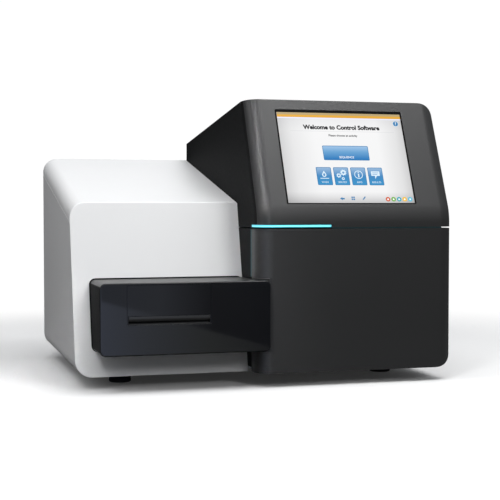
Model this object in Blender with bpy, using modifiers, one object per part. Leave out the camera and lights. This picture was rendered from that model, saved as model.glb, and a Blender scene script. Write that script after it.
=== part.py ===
"""Benchtop DNA sequencer: white optics module on the left, dark reagent module on the right.

Run with: blender --background --python part.py
Frame: origin on the bench under the middle of the object, +X to the right as seen from the
front, +Y to the back, +Z up.  Dimensions below are in millimetres; every mesh is in metres.
"""
import math

import bmesh
import bpy
from mathutils import Matrix, Vector

MM = 0.001
GAP = 0.3                   # clearance between pieces that touch

# ---- overall size ----
HALF_WIDTH = 343.0
BACK = 282.5
VISOR_FRONT = -282.5
SPLIT_X = -31.7             # left side plane of the dark module
SHEET = 2.5                 # folded sheet covers
WALL = 3.0                  # moulded covers

# ---- white optics module ----
WHITE_BOTTOM = 22.5
FASCIA_FOOT_Y = -207.8
FASCIA_LEAN = 0.246         # dY / dZ of the fascia
FASCIA_TOP = 326.0
FASCIA_THICK = 4.0
FASCIA_RIGHT = SPLIT_X - 0.5
WHITE_TOP_SLOPE = 0.2247    # dZ / dY of the top
WHITE_RADIUS = 28.0
SEAM_DROP = 33.5            # top seam of the side panel below the top, along its normal

# ---- dark reagent module ----
DARK_BOTTOM = 25.0
DOOR_FRONT = -272.0
DOOR_TOP = 279.9
SHELL_BOTTOM = 282.4
SCREEN_LEAN = 0.442         # dY / dZ of the sloping front
SCREEN_FOOT_Z = 307.0       # height where the sloping front would leave the door's plane
BROW_RADIUS = 80.0
DARK_TOP = 514.4
DARK_TOP_SLOPE = -0.129
PLAN_RADIUS = 30.0          # plan corner at the front left
EDGE_RADIUS = 29.0          # plan corner at the front right
DARK_RADIUS = 36.0          # right-hand corners seen from the front
BAR_RIGHT = 103.0             # right end of the status light bar
SLOT_RIGHT = BAR_RIGHT + 2.0  # right end of the slot that holds it
DOOR_LEFT_END = -227.0
DOOR_RIGHT_END = -230.0
SIDE_PANEL_FRONT = -219.5
PARTITION_FRONT = -226.2

# ---- visor over the flow cell compartment ----
VISOR_LEFT = -312.0
VISOR_RIGHT = -12.7
VISOR_BOTTOM = 66.5
VISOR_TOP = 190.5
VISOR_RADIUS = 9.5
VISOR_AXIS_Y = -125.0
VISOR_AXIS_Z = 253.0
STRIP_BACK = -274.0         # back of the visor where it passes in front of the door
GRIP_LEFT = -266.0
GRIP_RIGHT = -119.0
GRIP_BOTTOM = 118.4
GRIP_EDGE = 133.9
GRIP_TOP = 187.2
BAY_LEFT = -290.0           # opening in the fascia
BAY_RIGHT = -60.0
BAY_BOTTOM = 76.0
BAY_TOP = 186.0
ARM_LEFT_X = -284.0
ARM_RIGHT_X = -66.0
ARM_INNER = 86.0
ARM_OUTER = 96.0

# ---- screen ----
SCREEN_LEFT = 26.0
SCREEN_RIGHT = 268.0
SCREEN_LOW_Z = 325.9
SCREEN_HIGH_Z = 495.9
BEZEL = 4.0

# ---- reagent door hinge ----
HINGE_X = 335.2
HINGE_Y = -228.0
KNUCKLE_R = 4.2
PIN_R = 2.0
HINGE_LOW = 60.0
HINGE_PITCH = 40.0          # height of one knuckle
LEAF = 1.5                  # thickness of a hinge leaf

# ---- flow cell stage ----
RAIL_LEFT = -235.0
RAIL_RIGHT = -115.0
LATCH_AXIS = (-175.0, -72.0, 121.0)
BUTTON_X = -148.5
BUTTON_Z = 108.0

# ---- reagent compartment ----
BAY_SIDE_X = 318.0          # right wall of the compartment
BOTTLES = {"wash_bottle": (199.0, "cap_blue"), "waste_bottle": (271.0, "button_orange")}
BOTTLE_Y = -125.0
BOTTLE_R = 30.0
BOTTLE_LOW = 39.3
SIPPER_Z = 205.0
LEVER_LEFT = 156.0
LEVER_RIGHT = 314.0
LEVER_Y = -150.0
LEVER_Z = 240.0

# ---- rear ----
FAN_X = 150.0
FAN_Z = 170.0
FAN_BORE = 42.0
PANEL_Y = 274.0
INLET = (267.0, 62.0, 315.0, 90.0)
SOCKETS = {"network_socket": (30.0, 80.0, 47.0, 95.0), "usb_socket": (62.0, 80.0, 78.0, 96.0)}

# ---- base ----
PAN_BOTTOM = 27.8
PAN_TOP = 31.8
FOOT_R = 20.0
FEET = {"foot_front_left": (-250.0, -116.0), "foot_front_right": (258.0, -122.0),
        "foot_rear_left": (-250.0, 225.0), "foot_rear_right": (258.0, 225.0)}

for old in list(bpy.data.objects):
    bpy.data.objects.remove(old, do_unlink=True)
scene = bpy.context.scene
PARTS = bpy.data.collections.new("benchtop_sequencer")
CUTTERS = bpy.data.collections.new("cutters")
scene.collection.children.link(PARTS)
scene.collection.children.link(CUTTERS)

MATERIALS = {}


def make_material(slot, colour, roughness, metallic=0.0):
    material = bpy.data.materials.new(slot)
    material.use_nodes = True
    shader = material.node_tree.nodes["Principled BSDF"]
    shader.inputs["Base Color"].default_value = (*colour, 1.0)
    shader.inputs["Roughness"].default_value = roughness
    shader.inputs["Metallic"].default_value = metallic
    material.diffuse_color = (*colour, 1.0)
    MATERIALS[slot] = material


make_material("white_cover", (0.86, 0.87, 0.88), 0.35)
make_material("grey_panel", (0.32, 0.32, 0.33), 0.45)
make_material("dark_cover", (0.055, 0.056, 0.060), 0.45)
make_material("visor_black", (0.012, 0.013, 0.016), 0.08)
make_material("status_light", (0.10, 0.75, 0.90), 0.30)
make_material("screen_glass", (0.60, 0.65, 0.72), 0.10)
make_material("black_trim", (0.010, 0.010, 0.011), 0.50)
make_material("rubber_foot", (0.020, 0.020, 0.021), 0.80)
make_material("zinc_steel", (0.55, 0.56, 0.58), 0.35, 1.0)
make_material("black_steel", (0.030, 0.030, 0.032), 0.50, 1.0)
make_material("machined_aluminium", (0.75, 0.76, 0.78), 0.30, 1.0)
make_material("inner_grey", (0.40, 0.41, 0.43), 0.55)
make_material("clear_glass", (0.80, 0.88, 0.90), 0.05)
make_material("cartridge_plastic", (0.78, 0.80, 0.82), 0.40)
make_material("bottle_plastic", (0.80, 0.84, 0.86), 0.30)
make_material("cap_blue", (0.05, 0.20, 0.50), 0.40)
make_material("button_orange", (0.75, 0.28, 0.04), 0.40)


# ---------------------------------------------------------------- outlines
def rounded(corners, closed=True, steps=6):
    """Points through corners (u, v) or (u, v, radius), each radius drawn as an arc."""
    points = []
    count = len(corners)
    for index, corner in enumerate(corners):
        here = Vector(corner[:2])
        radius = corner[2] if len(corner) > 2 else 0.0
        at_end = not closed and index in (0, count - 1)
        if radius == 0.0 or at_end:
            points.append(tuple(here))
            continue
        to_last = (Vector(corners[index - 1][:2]) - here).normalized()
        to_next = (Vector(corners[(index + 1) % count][:2]) - here).normalized()
        half = to_last.angle(to_next) / 2
        centre = here + (to_last + to_next).normalized() * (radius / math.sin(half))
        first = here + to_last * (radius / math.tan(half)) - centre
        last = here + to_next * (radius / math.tan(half)) - centre
        turn = first.angle_signed(last)
        start = math.atan2(first.y, first.x)
        for step in range(steps + 1):
            angle = start - turn * step / steps
            points.append((centre.x + radius * math.cos(angle),
                           centre.y + radius * math.sin(angle)))
    return points


def rectangle(u0, v0, u1, v1, radius=0.0, steps=4):
    corners = [(u0, v0, radius), (u1, v0, radius), (u1, v1, radius), (u0, v1, radius)]
    return rounded(corners, steps=steps)


def circle(u, v, radius, steps=24):
    angles = [2 * math.pi * step / steps for step in range(steps)]
    return [(u + radius * math.cos(angle), v + radius * math.sin(angle)) for angle in angles]


def fascia_y(z, inset=0.0):
    """Y of the fascia's front plane at a height, moved back square to the plane by inset."""
    return FASCIA_FOOT_Y + FASCIA_LEAN * (z - WHITE_BOTTOM) + inset * math.hypot(1, FASCIA_LEAN)


def white_top_z(y):
    return FASCIA_TOP + WHITE_TOP_SLOPE * (y - fascia_y(FASCIA_TOP))


def dark_front_y(z):
    """Y of the upper shell's front: plumb, then an arc, then the sloping screen face."""
    lean = math.atan(SCREEN_LEAN)
    tangent = BROW_RADIUS * math.tan(lean / 2)
    rise = z - (SCREEN_FOOT_Z - tangent)
    if rise <= 0:
        return DOOR_FRONT
    if rise >= BROW_RADIUS * math.sin(lean):
        return DOOR_FRONT + SCREEN_LEAN * (z - SCREEN_FOOT_Z)
    return DOOR_FRONT + BROW_RADIUS - math.sqrt(BROW_RADIUS ** 2 - rise ** 2)


# ---------------------------------------------------------------- solids
PLANES = {
    "X": Matrix(((0, 0, 1, 0), (1, 0, 0, 0), (0, 1, 0, 0), (0, 0, 0, 1))),     # (u, v) = (Y, Z)
    "Y": Matrix(((1, 0, 0, 0), (0, 0, -1, 0), (0, 1, 0, 0), (0, 0, 0, 1))),    # (u, v) = (X, Z)
    "Z": Matrix.Identity(4),                                                   # (u, v) = (X, Y)
}
AXES = {"X": Vector((1, 0, 0)), "Y": Vector((0, 1, 0)), "Z": Vector((0, 0, 1))}


def leaning(y, z, degrees):
    """Frame at (0, y, z) whose upright axis leans back by an angle."""
    place = Matrix.Translation((0, y * MM, z * MM))
    return place @ Matrix.Rotation(-math.radians(degrees), 4, "X")


def add_object(name, mesh, slot=None, smooth=True):
    """Put a mesh in the parts collection, or with no slot in the cutters."""
    thing = bpy.data.objects.new(name, mesh)
    if slot is None:
        CUTTERS.objects.link(thing)
        thing.hide_render = True
        thing.display_type = "WIRE"
        return thing
    PARTS.objects.link(thing)
    mesh.materials.append(MATERIALS[slot])
    if smooth:
        mesh.shade_smooth()
        mesh.set_sharp_from_angle(angle=math.radians(35))
    return thing


def bevel(thing, width, segments=2):
    modifier = thing.modifiers.new("edges", "BEVEL")
    modifier.width = width * MM
    modifier.segments = segments
    modifier.limit_method = "ANGLE"
    modifier.angle_limit = math.radians(40)
    return thing


def box(name, low, high, slot=None, edge=0.0):
    bm = bmesh.new()
    bmesh.ops.create_cube(bm, size=1.0)
    size = [(b - a) * MM for a, b in zip(low, high)]
    middle = [(a + b) / 2 * MM for a, b in zip(low, high)]
    bmesh.ops.scale(bm, vec=size, verts=bm.verts)
    mesh = bpy.data.meshes.new(name)
    bm.to_mesh(mesh)
    bm.free()
    thing = add_object(name, mesh, slot)
    thing.location = middle
    if edge:
        bevel(thing, edge, 1)
    return thing


def cylinder(name, centre, radius, length, axis="Z", slot=None, steps=24):
    """Cylinder from centre along its axis by length."""
    bm = bmesh.new()
    bmesh.ops.create_cone(bm, cap_ends=True, segments=steps, radius1=radius * MM,
                          radius2=radius * MM, depth=length * MM)
    mesh = bpy.data.meshes.new(name)
    bm.to_mesh(mesh)
    bm.free()
    thing = add_object(name, mesh, slot)
    thing.rotation_mode = "QUATERNION"
    thing.rotation_quaternion = Vector((0, 0, 1)).rotation_difference(AXES[axis])
    thing.location = (Vector(centre) + AXES[axis] * length / 2) * MM
    return thing


def prism(name, outline, axis, start, end, slot=None, holes=(), frame=None):
    """Flat outline, with holes, drawn as a filled curve and thickened from start to end."""
    curve = bpy.data.curves.new(name, "CURVE")
    curve.dimensions = "2D"
    curve.fill_mode = "BOTH"
    curve.extrude = (end - start) / 2 * MM
    for loop in (outline, *holes):
        spline = curve.splines.new("POLY")
        spline.points.add(len(loop) - 1)
        for point, (u, v) in zip(spline.points, loop):
            point.co = (u * MM, v * MM, 0, 1)
        spline.use_cyclic_u = True
    guide = bpy.data.objects.new(name + "_outline", curve)
    scene.collection.objects.link(guide)
    middle = AXES[axis] * ((start + end) / 2 * MM)
    guide.matrix_world = (frame or Matrix()) @ Matrix.Translation(middle) @ PLANES[axis]
    graph = bpy.context.evaluated_depsgraph_get()
    mesh = bpy.data.meshes.new_from_object(guide.evaluated_get(graph))
    mesh.name = name
    bm = bmesh.new()
    bm.from_mesh(mesh)
    bmesh.ops.remove_doubles(bm, verts=bm.verts, dist=0.00001)
    bmesh.ops.recalc_face_normals(bm, faces=bm.faces)
    bm.to_mesh(mesh)
    bm.free()
    mesh.materials.clear()
    thing = add_object(name, mesh, slot)
    thing.matrix_world = guide.matrix_world.copy()
    bpy.data.objects.remove(guide, do_unlink=True)
    return thing


def folded_sheet(name, path, start, end, thick, slot, frame=None):
    """Sheet bent along a path in (X, Z), clockwise seen from the front, running along Y."""
    bm = bmesh.new()
    near = [bm.verts.new((x * MM, start * MM, z * MM)) for x, z in path]
    far = [bm.verts.new((x * MM, end * MM, z * MM)) for x, z in path]
    for index in range(len(path) - 1):
        bm.faces.new((near[index], near[index + 1], far[index + 1], far[index]))
    mesh = bpy.data.meshes.new(name)
    bm.to_mesh(mesh)
    bm.free()
    thing = add_object(name, mesh, slot)
    thing.matrix_world = frame or Matrix()
    sheet = thing.modifiers.new("thickness", "SOLIDIFY")
    sheet.thickness = thick * MM
    sheet.offset = -1.0
    sheet.use_even_offset = True
    return thing


def turned(name, profile, centre, slot, steps=24, axis="Z"):
    """Turned piece: profile points (radius, height) run down the outer side."""
    mesh = bpy.data.meshes.new(name)
    points = [(radius * MM, 0, height * MM) for radius, height in profile]
    edges = [(index, index + 1) for index in range(len(points) - 1)]
    if profile[0][0] > 0:
        edges.append((len(points) - 1, 0))
    mesh.from_pydata(points, edges, [])
    thing = add_object(name, mesh, slot, smooth=False)
    screw = thing.modifiers.new("turn", "SCREW")
    screw.steps = steps
    screw.render_steps = steps
    screw.use_merge_vertices = True
    screw.merge_threshold = 0.00001
    thing.rotation_mode = "QUATERNION"
    thing.rotation_quaternion = Vector((0, 0, 1)).rotation_difference(AXES[axis])
    thing.location = Vector(centre) * MM
    return thing


def combine(thing, other, operation="DIFFERENCE"):
    """Cut, join or trim a part with another solid, which becomes a cutter."""
    modifier = thing.modifiers.new(operation.lower(), "BOOLEAN")
    modifier.operation = operation
    modifier.solver = "EXACT"
    modifier.object = other
    return thing


def on_joint(name, position, *things):
    """Empty on a joint's axis that carries the pieces which move with it."""
    pivot = bpy.data.objects.new(name, None)
    PARTS.objects.link(pivot)
    pivot.location = Vector(position) * MM
    for thing in things:
        thing.parent = pivot
        thing.matrix_parent_inverse = Matrix.Translation(-pivot.location)
    return pivot


# ---------------------------------------------------------------- base
def build_base():
    outline = [(-318, -200), (SPLIT_X, -200), (SPLIT_X, -222), (306, -222), (306, 273),
               (-318, 273)]
    prism("base_pan", outline, "Z", PAN_BOTTOM, PAN_TOP, "zinc_steel")
    height = PAN_BOTTOM - GAP
    profile = [(0, height), (14, height), (14, height - 7), (FOOT_R, height - 9),
               (FOOT_R, 2), (FOOT_R - 2, 0), (0, 0)]
    for name, (x, y) in FEET.items():
        turned(name, profile, (x, y, 0), "rubber_foot", steps=24)


# ---------------------------------------------------------------- white optics module
def build_white_covers():
    lean = math.degrees(math.atan(FASCIA_LEAN))
    slope = math.hypot(1, FASCIA_LEAN)
    length = (FASCIA_TOP - WHITE_BOTTOM) * slope
    outline = rounded([(-HALF_WIDTH, 0, 30), (FASCIA_RIGHT, 0), (FASCIA_RIGHT, length),
                       (-HALF_WIDTH, length, 30)])
    opening = rectangle(BAY_LEFT, (BAY_BOTTOM - WHITE_BOTTOM) * slope,
                        BAY_RIGHT, (BAY_TOP - WHITE_BOTTOM) * slope, 8)
    prism("optics_fascia", outline, "Y", 0, FASCIA_THICK, "white_cover", [opening],
          leaning(FASCIA_FOOT_Y, WHITE_BOTTOM, lean))

    inset = FASCIA_THICK + GAP
    roof = math.degrees(math.atan(WHITE_TOP_SLOPE))
    bend = rounded([(-HALF_WIDTH, -SEAM_DROP), (-HALF_WIDTH, 0, WHITE_RADIUS),
                    (FASCIA_RIGHT, 0)], closed=False)
    cover = folded_sheet("optics_top_cover", bend, -60, 480, SHEET, "white_cover",
                         leaning(fascia_y(FASCIA_TOP), FASCIA_TOP, -roof))
    side = [(fascia_y(200, inset), 200), (BACK, 200), (BACK, 500),
            (fascia_y(500, inset), 500)]
    combine(cover, prism("top_cover_trim", side, "X", -400, 0), "INTERSECT")

    seam = SEAM_DROP / math.cos(math.radians(roof)) + GAP
    bend = rounded([(-312, WHITE_BOTTOM), (-HALF_WIDTH, WHITE_BOTTOM, WHITE_RADIUS),
                    (-HALF_WIDTH, 440)], closed=False)
    panel = folded_sheet("optics_side_panel", bend, -230, 300, SHEET, "grey_panel")
    side = [(fascia_y(0, inset), 0), (BACK, 0), (BACK, white_top_z(BACK) - seam),
            (fascia_y(290, inset), white_top_z(fascia_y(290, inset)) - seam)]
    combine(panel, prism("side_panel_trim", side, "X", -400, 0), "INTERSECT")


def build_optics_frame():
    """Two upright plates that carry the visor's hinge shaft, and the flow cell bay between them."""
    front = [(-185, PAN_TOP + GAP), (150, PAN_TOP + GAP), (150, 268), (-138, 268)]
    bore = circle(VISOR_AXIS_Y, VISOR_AXIS_Z, 4.1)
    prism("optics_frame_left", front, "X", -300, -297, "zinc_steel", [bore])
    prism("optics_frame_right", front, "X", -53, -50, "zinc_steel", [bore])

    bay = [(fascia_y(70, 5.0), 70), (10, 70), (10, 215), (fascia_y(215, 5.0), 215)]
    liner = prism("flow_cell_bay", bay, "X", -275, -75, "inner_grey")
    combine(liner, box("bay_hollow", (-272, -260, 73), (-78, 7, 212)))


def build_visor():
    shell_outline = rectangle(VISOR_LEFT, VISOR_BOTTOM, VISOR_RIGHT, VISOR_TOP,
                              VISOR_RADIUS, steps=6)
    hollow_outline = rectangle(VISOR_LEFT + WALL, VISOR_BOTTOM + WALL, VISOR_RIGHT - WALL,
                               VISOR_TOP - WALL, VISOR_RADIUS - WALL, steps=6)
    shell = prism("visor_shell", shell_outline, "Y", VISOR_FRONT, -150, "visor_black")
    combine(shell, prism("visor_hollow", hollow_outline, "Y", VISOR_FRONT + WALL, -140))
    behind = [(fascia_y(40, -1.0), 40), (-100, 40), (-100, 240), (fascia_y(240, -1.0), 240)]
    combine(shell, prism("fascia_clearance", behind, "X", -400, 100))
    combine(shell, box("door_clearance", (SPLIT_X - 1.3, STRIP_BACK, 0), (100, 0, 300)))
    combine(shell, box("grip_window", (GRIP_LEFT, VISOR_FRONT - 5, GRIP_BOTTOM),
                       (GRIP_RIGHT, VISOR_FRONT + WALL + 0.5, GRIP_TOP)))

    lip = GRIP_BOTTOM + GAP
    back = VISOR_FRONT + 15
    profile = [(VISOR_FRONT, lip), (back, lip), (back, 149.5), (VISOR_FRONT + 2.5, 149.5),
               (VISOR_FRONT + 2.5, GRIP_TOP - GAP), (VISOR_FRONT, GRIP_TOP - GAP)]
    grip = prism("visor_grip", profile, "X", GRIP_LEFT + GAP, GRIP_RIGHT - GAP, "visor_black")
    scoop = [(VISOR_FRONT - 5, lip + 1.5), (back - 1.5, lip + 1.5), (back - 1.5, 148),
             (VISOR_FRONT + 2.5, 148), (VISOR_FRONT + 2.5, GRIP_EDGE), (VISOR_FRONT - 5, GRIP_EDGE)]
    combine(grip, prism("finger_scoop", scoop, "X", GRIP_LEFT + 1.8, GRIP_RIGHT - 1.8))

    shaft = cylinder("visor_shaft", (-302, VISOR_AXIS_Y, VISOR_AXIS_Z), 4.0, 254, "X",
                     "zinc_steel")
    arms = [build_visor_arm("visor_arm_left", ARM_LEFT_X),
            build_visor_arm("visor_arm_right", ARM_RIGHT_X)]
    on_joint("visor_pivot", (0, VISOR_AXIS_Y, VISOR_AXIS_Z), shell, grip, shaft, *arms)


def build_visor_arm(name, x):
    """Gooseneck arm: hub, leg down behind the fascia, arc under it, pad on the visor's front."""
    def polar(radius, degrees):
        angle = math.radians(degrees)
        return (VISOR_AXIS_Y + radius * math.sin(angle), VISOR_AXIS_Z - radius * math.cos(angle))

    outer = [polar(ARM_OUTER, 42 - 7 * step) for step in range(11)]
    inner = [polar(ARM_INNER, -35 + 7 * step) for step in range(11)]
    pad_y = VISOR_FRONT + WALL + GAP
    pad_top = VISOR_TOP - WALL - 2.0
    pad = [(pad_y, pad_top - 20), (pad_y, pad_top), (inner[0][0] - 2, pad_top)]
    hub = [polar(9.5, -30 - 24 * step) for step in range(11)]
    outline = outer + pad + inner + hub
    return prism(name, outline, "X", x, x + 5, "black_steel",
                 [circle(VISOR_AXIS_Y, VISOR_AXIS_Z, 4.0 + GAP)])


def build_stage():
    """XY stage under the objective, with the heated station and the flow cell on it."""
    x0, x1 = RAIL_LEFT, RAIL_RIGHT
    rails = [(x0, 73.3), (x1, 73.3), (x1, 81), (x1 - 10, 81), (x1 - 10, 87), (x1 - 20, 87),
             (x1 - 20, 81), (x0 + 20, 81), (x0 + 20, 87), (x0 + 10, 87), (x0 + 10, 81),
             (x0, 81)]
    prism("stage_base", rails, "Y", -170, -30, "machined_aluminium")

    lower = box("stage_y_carriage", (-232, -150, 81.5), (-118, -60, 97), "machined_aluminium")
    for left in (x0 + 9.5, x1 - 20.5):
        combine(lower, box("rail_groove", (left, -160, 70), (left + 11, -50, 87.5)))
    for near, far in ((-155, -142), (-134, -76), (-68, -55)):
        combine(lower, box("rail_side", (-240, near, 91), (-110, far, 100)))

    upper = box("stage_x_carriage", (-215, -148, 91.5), (-135, -62, 103), "machined_aluminium")
    for near in (-142.5, -76.5):
        combine(upper, box("cross_groove", (-220, near, 85), (-130, near + 9, 97.5)))

    station = box("thermal_station", (-207, -142, 103.3), (-143, -68, 113), "machined_aluminium", 1)
    combine(station, cylinder("button_bore", (BUTTON_X, -150, BUTTON_Z), 2.9, 16, "Y", steps=16))

    frame = box("flow_cell_carrier", (-192, -140, 113.3), (-158, -78, 117), "cartridge_plastic", 0.8)
    combine(frame, box("carrier_window", (-187, -128, 112), (-163, -86, 120)))
    glass = box("flow_cell_glass", (-186.7, -127.7, 113.6), (-163.3, -86.3, 115.2), "clear_glass")

    latch = build_latch()
    button = cylinder("release_button", (BUTTON_X, -147, BUTTON_Z), 2.6, 9, "Y",
                      "button_orange", 16)
    on_joint("stage_y_slide", (-175, -105, 81.5), lower)
    on_joint("stage_x_slide", (-175, -105, 91.5), upper, station)
    on_joint("flow_cell_slide", (-175, -109, 113.3), frame, glass)
    on_joint("latch_pivot", LATCH_AXIS, latch)
    on_joint("button_slide", (BUTTON_X, -147, BUTTON_Z), button)


def build_latch():
    """Clamp frame over the back of the flow cell, hinged behind it."""
    _, y, z = LATCH_AXIS
    side = [(y + 2, z - 3.4), (y + 4, z - 1), (y + 4, z + 1), (y + 2, z + 3.4), (y - 8, z + 3.4),
            (y - 40, z + 0.4), (y - 45, z - 2), (y - 45, z - 3.4)]
    latch = prism("flow_cell_latch", side, "X", -200, -150, "black_trim")
    combine(latch, box("latch_window", (-190, y - 34, z - 10), (-160, y - 12, z + 10)))
    return latch


def build_optics():
    box("optics_block", (-215, -62, 180), (-135, 5, 211.7), "machined_aluminium", 2)
    profile = [(0, 176), (15, 176), (15, 150), (12, 145), (12, 136), (6, 129), (0, 129)]
    lens = turned("objective_lens", profile, (-175, -30, 0), "black_steel", 24)
    on_joint("focus_slide", (-175, -30, 152), lens)


# ---------------------------------------------------------------- dark reagent module
def plan_ring(z, inset, back):
    """Plan section of the dark module at a height: round front corners, square at the back."""
    front = dark_front_y(z) + inset
    corners = [(SPLIT_X + inset, back), (SPLIT_X + inset, front, PLAN_RADIUS - inset),
               (HALF_WIDTH - inset, front, EDGE_RADIUS - inset), (HALF_WIDTH - inset, back)]
    return [(x * MM, y * MM, z * MM) for x, y in rounded(corners)]


def loft(name, rings, slot=None):
    """Solid through horizontal sections with the same number of points."""
    bm = bmesh.new()
    loops = [[bm.verts.new(point) for point in ring] for ring in rings]
    count = len(loops[0])
    for low, high in zip(loops, loops[1:]):
        for index in range(count):
            after = (index + 1) % count
            bm.faces.new((low[index], low[after], high[after], high[index]))
    bm.faces.new(loops[0])
    bm.faces.new(loops[-1])
    bmesh.ops.recalc_face_normals(bm, faces=bm.faces)
    mesh = bpy.data.meshes.new(name)
    bm.to_mesh(mesh)
    bm.free()
    return add_object(name, mesh, slot)


def shell_block(name, low, inset, back, slot=None):
    """Upper shell's outer form, or with an inset its hollow."""
    arc_low = SCREEN_FOOT_Z - BROW_RADIUS * math.tan(math.atan(SCREEN_LEAN) / 2)
    arc_high = arc_low + BROW_RADIUS * math.sin(math.atan(SCREEN_LEAN))
    arc = [arc_low + (arc_high - arc_low) * step / 5 for step in range(6)]
    rings = [plan_ring(z, inset, back) for z in (low, *arc, DARK_TOP + 40)]
    block = loft(name, rings, slot)
    roof = math.degrees(math.atan(DARK_TOP_SLOPE))
    top = -inset
    outline = rounded([(SPLIT_X - 20, -400), (HALF_WIDTH - inset, -400),
                       (HALF_WIDTH - inset, top, DARK_RADIUS - inset), (SPLIT_X - 20, top)])
    peak = dark_front_y(DARK_TOP)
    trim = prism(name + "_roof", outline, "Y", -200, 600,
                 frame=leaning(peak, DARK_TOP, -roof))
    return combine(block, trim, "INTERSECT")


def build_upper_shell():
    shell = shell_block("upper_shell", SHELL_BOTTOM, 0.0, BACK, "dark_cover")
    combine(shell, shell_block("upper_hollow", SHELL_BOTTOM - 20, WALL, BACK + 20))
    lean = math.degrees(math.atan(SCREEN_LEAN))
    slope = math.hypot(1, SCREEN_LEAN)
    frame = leaning(dark_front_y(SCREEN_LOW_Z), SCREEN_LOW_Z, lean)
    height = (SCREEN_HIGH_Z - SCREEN_LOW_Z) * slope
    window = rectangle(SCREEN_LEFT - BEZEL - GAP, -BEZEL - GAP,
                       SCREEN_RIGHT + BEZEL + GAP, height + BEZEL + GAP, 2, steps=2)
    combine(shell, prism("screen_window", window, "Y", -20, 20, frame=frame))

    outer = rectangle(SCREEN_LEFT - BEZEL, -BEZEL, SCREEN_RIGHT + BEZEL, height + BEZEL, 2, 2)
    inner = rectangle(SCREEN_LEFT, 0, SCREEN_RIGHT, height)
    prism("screen_gasket", outer, "Y", 0.3, 2.8, "black_trim", [inner], frame)
    glass = rectangle(SCREEN_LEFT + GAP, GAP, SCREEN_RIGHT - GAP, height - GAP)
    prism("touch_screen", glass, "Y", 1.0, 3.0, "screen_glass", frame=frame)
    module = rectangle(SCREEN_LEFT - 12, -10, SCREEN_RIGHT + 12, height + 8)
    prism("display_module", module, "Y", 3.4, 16, "black_steel", frame=frame)

    slot_top = SHELL_BOTTOM + 5.0
    ring = light_path(0.0, SLOT_RIGHT) + list(reversed(light_path(WALL + 0.2, SLOT_RIGHT)))
    combine(shell, prism("light_slot", widen(ring), "Z", SHELL_BOTTOM - 5, slot_top))
    bar = light_path(0.0, BAR_RIGHT) + list(reversed(light_path(WALL, BAR_RIGHT)))
    prism("status_light_bar", bar, "Z", SHELL_BOTTOM + 0.3, slot_top - GAP, "status_light")


def light_path(inset, right):
    """Plan line of the light bar: along the left side, round the corner, along the front."""
    corners = [(SPLIT_X + inset, DOOR_LEFT_END - 2), (SPLIT_X + inset, DOOR_FRONT + inset,
                                                     PLAN_RADIUS - inset),
               (right, DOOR_FRONT + inset)]
    return rounded(corners, closed=False, steps=8)


def widen(ring):
    """Slot ring: the outer line moved out past the shell, the ends moved on a little."""
    half = len(ring) // 2
    outer = rounded([(SPLIT_X - 5, DOOR_LEFT_END - 1.5), (SPLIT_X - 5, DOOR_FRONT - 5, 35),
                     (SLOT_RIGHT, DOOR_FRONT - 5)], closed=False, steps=8)
    inner = list(ring[half:])
    inner[-1] = (inner[-1][0], DOOR_LEFT_END - 1.5)
    return outer + inner


def build_dark_panels():
    prism("partition_wall", [(PARTITION_FRONT, PAN_TOP + GAP), (BACK, PAN_TOP + GAP),
                             (BACK, DOOR_TOP), (PARTITION_FRONT, DOOR_TOP)],
          "X", SPLIT_X, SPLIT_X + WALL, "dark_cover")
    bend = rounded([(HALF_WIDTH, DOOR_TOP), (HALF_WIDTH, DARK_BOTTOM, DARK_RADIUS),
                    (300, DARK_BOTTOM)], closed=False)
    folded_sheet("right_side_panel", bend, SIDE_PANEL_FRONT, BACK, SHEET, "dark_cover")

    centre_x = SPLIT_X + PLAN_RADIUS
    centre_y = DOOR_FRONT + PLAN_RADIUS
    radius = PLAN_RADIUS - GAP
    corner = [math.radians(180 + 9 * step) for step in range(9)]
    arc = [(centre_x + radius * math.cos(angle), centre_y + radius * math.sin(angle))
           for angle in corner]
    back = PARTITION_FRONT - GAP
    plan = [(arc[0][0], back), *arc, (arc[-1][0], back)]
    prism("landing_post", plan, "Z", VISOR_BOTTOM - 2.5, VISOR_TOP + 2.5, "dark_cover")


def build_rear_panels():
    inset = SHEET + 0.5
    low = PAN_TOP + 0.5
    top = white_top_z(PANEL_Y + 1) - inset - 0.5
    outline = rounded([(-HALF_WIDTH + inset, low, 20), (FASCIA_RIGHT - 0.5, low),
                       (FASCIA_RIGHT - 0.5, top), (-HALF_WIDTH + inset, top, 25)])
    slots = [rectangle(-250, 150 + 16 * row, -120, 156 + 16 * row, 2.5, 2) for row in range(8)]
    prism("rear_panel_optics", outline, "Y", PANEL_Y, PANEL_Y + SHEET, "zinc_steel", slots)

    inset = WALL + 0.5
    top = DARK_TOP + DARK_TOP_SLOPE * (PANEL_Y + 1 - dark_front_y(DARK_TOP)) - inset - 0.5
    outline = rounded([(SPLIT_X + inset, low), (HALF_WIDTH - inset, low, 33),
                       (HALF_WIDTH - inset, top, 33), (SPLIT_X + inset, top)])
    inlet = (INLET[0] - 0.5, INLET[1] - 0.5, INLET[2] + 0.5, INLET[3] + 0.5)
    cutouts = [circle(FAN_X, FAN_Z, FAN_BORE, 32), rectangle(*inlet)]
    cutouts += [rectangle(*edges) for edges in SOCKETS.values()]
    cutouts += [rectangle(20, 330 + 14 * row, 150, 335 + 14 * row, 2, 2) for row in range(5)]
    prism("rear_panel_reagent", outline, "Y", PANEL_Y, PANEL_Y + SHEET, "zinc_steel", cutouts)


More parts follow.
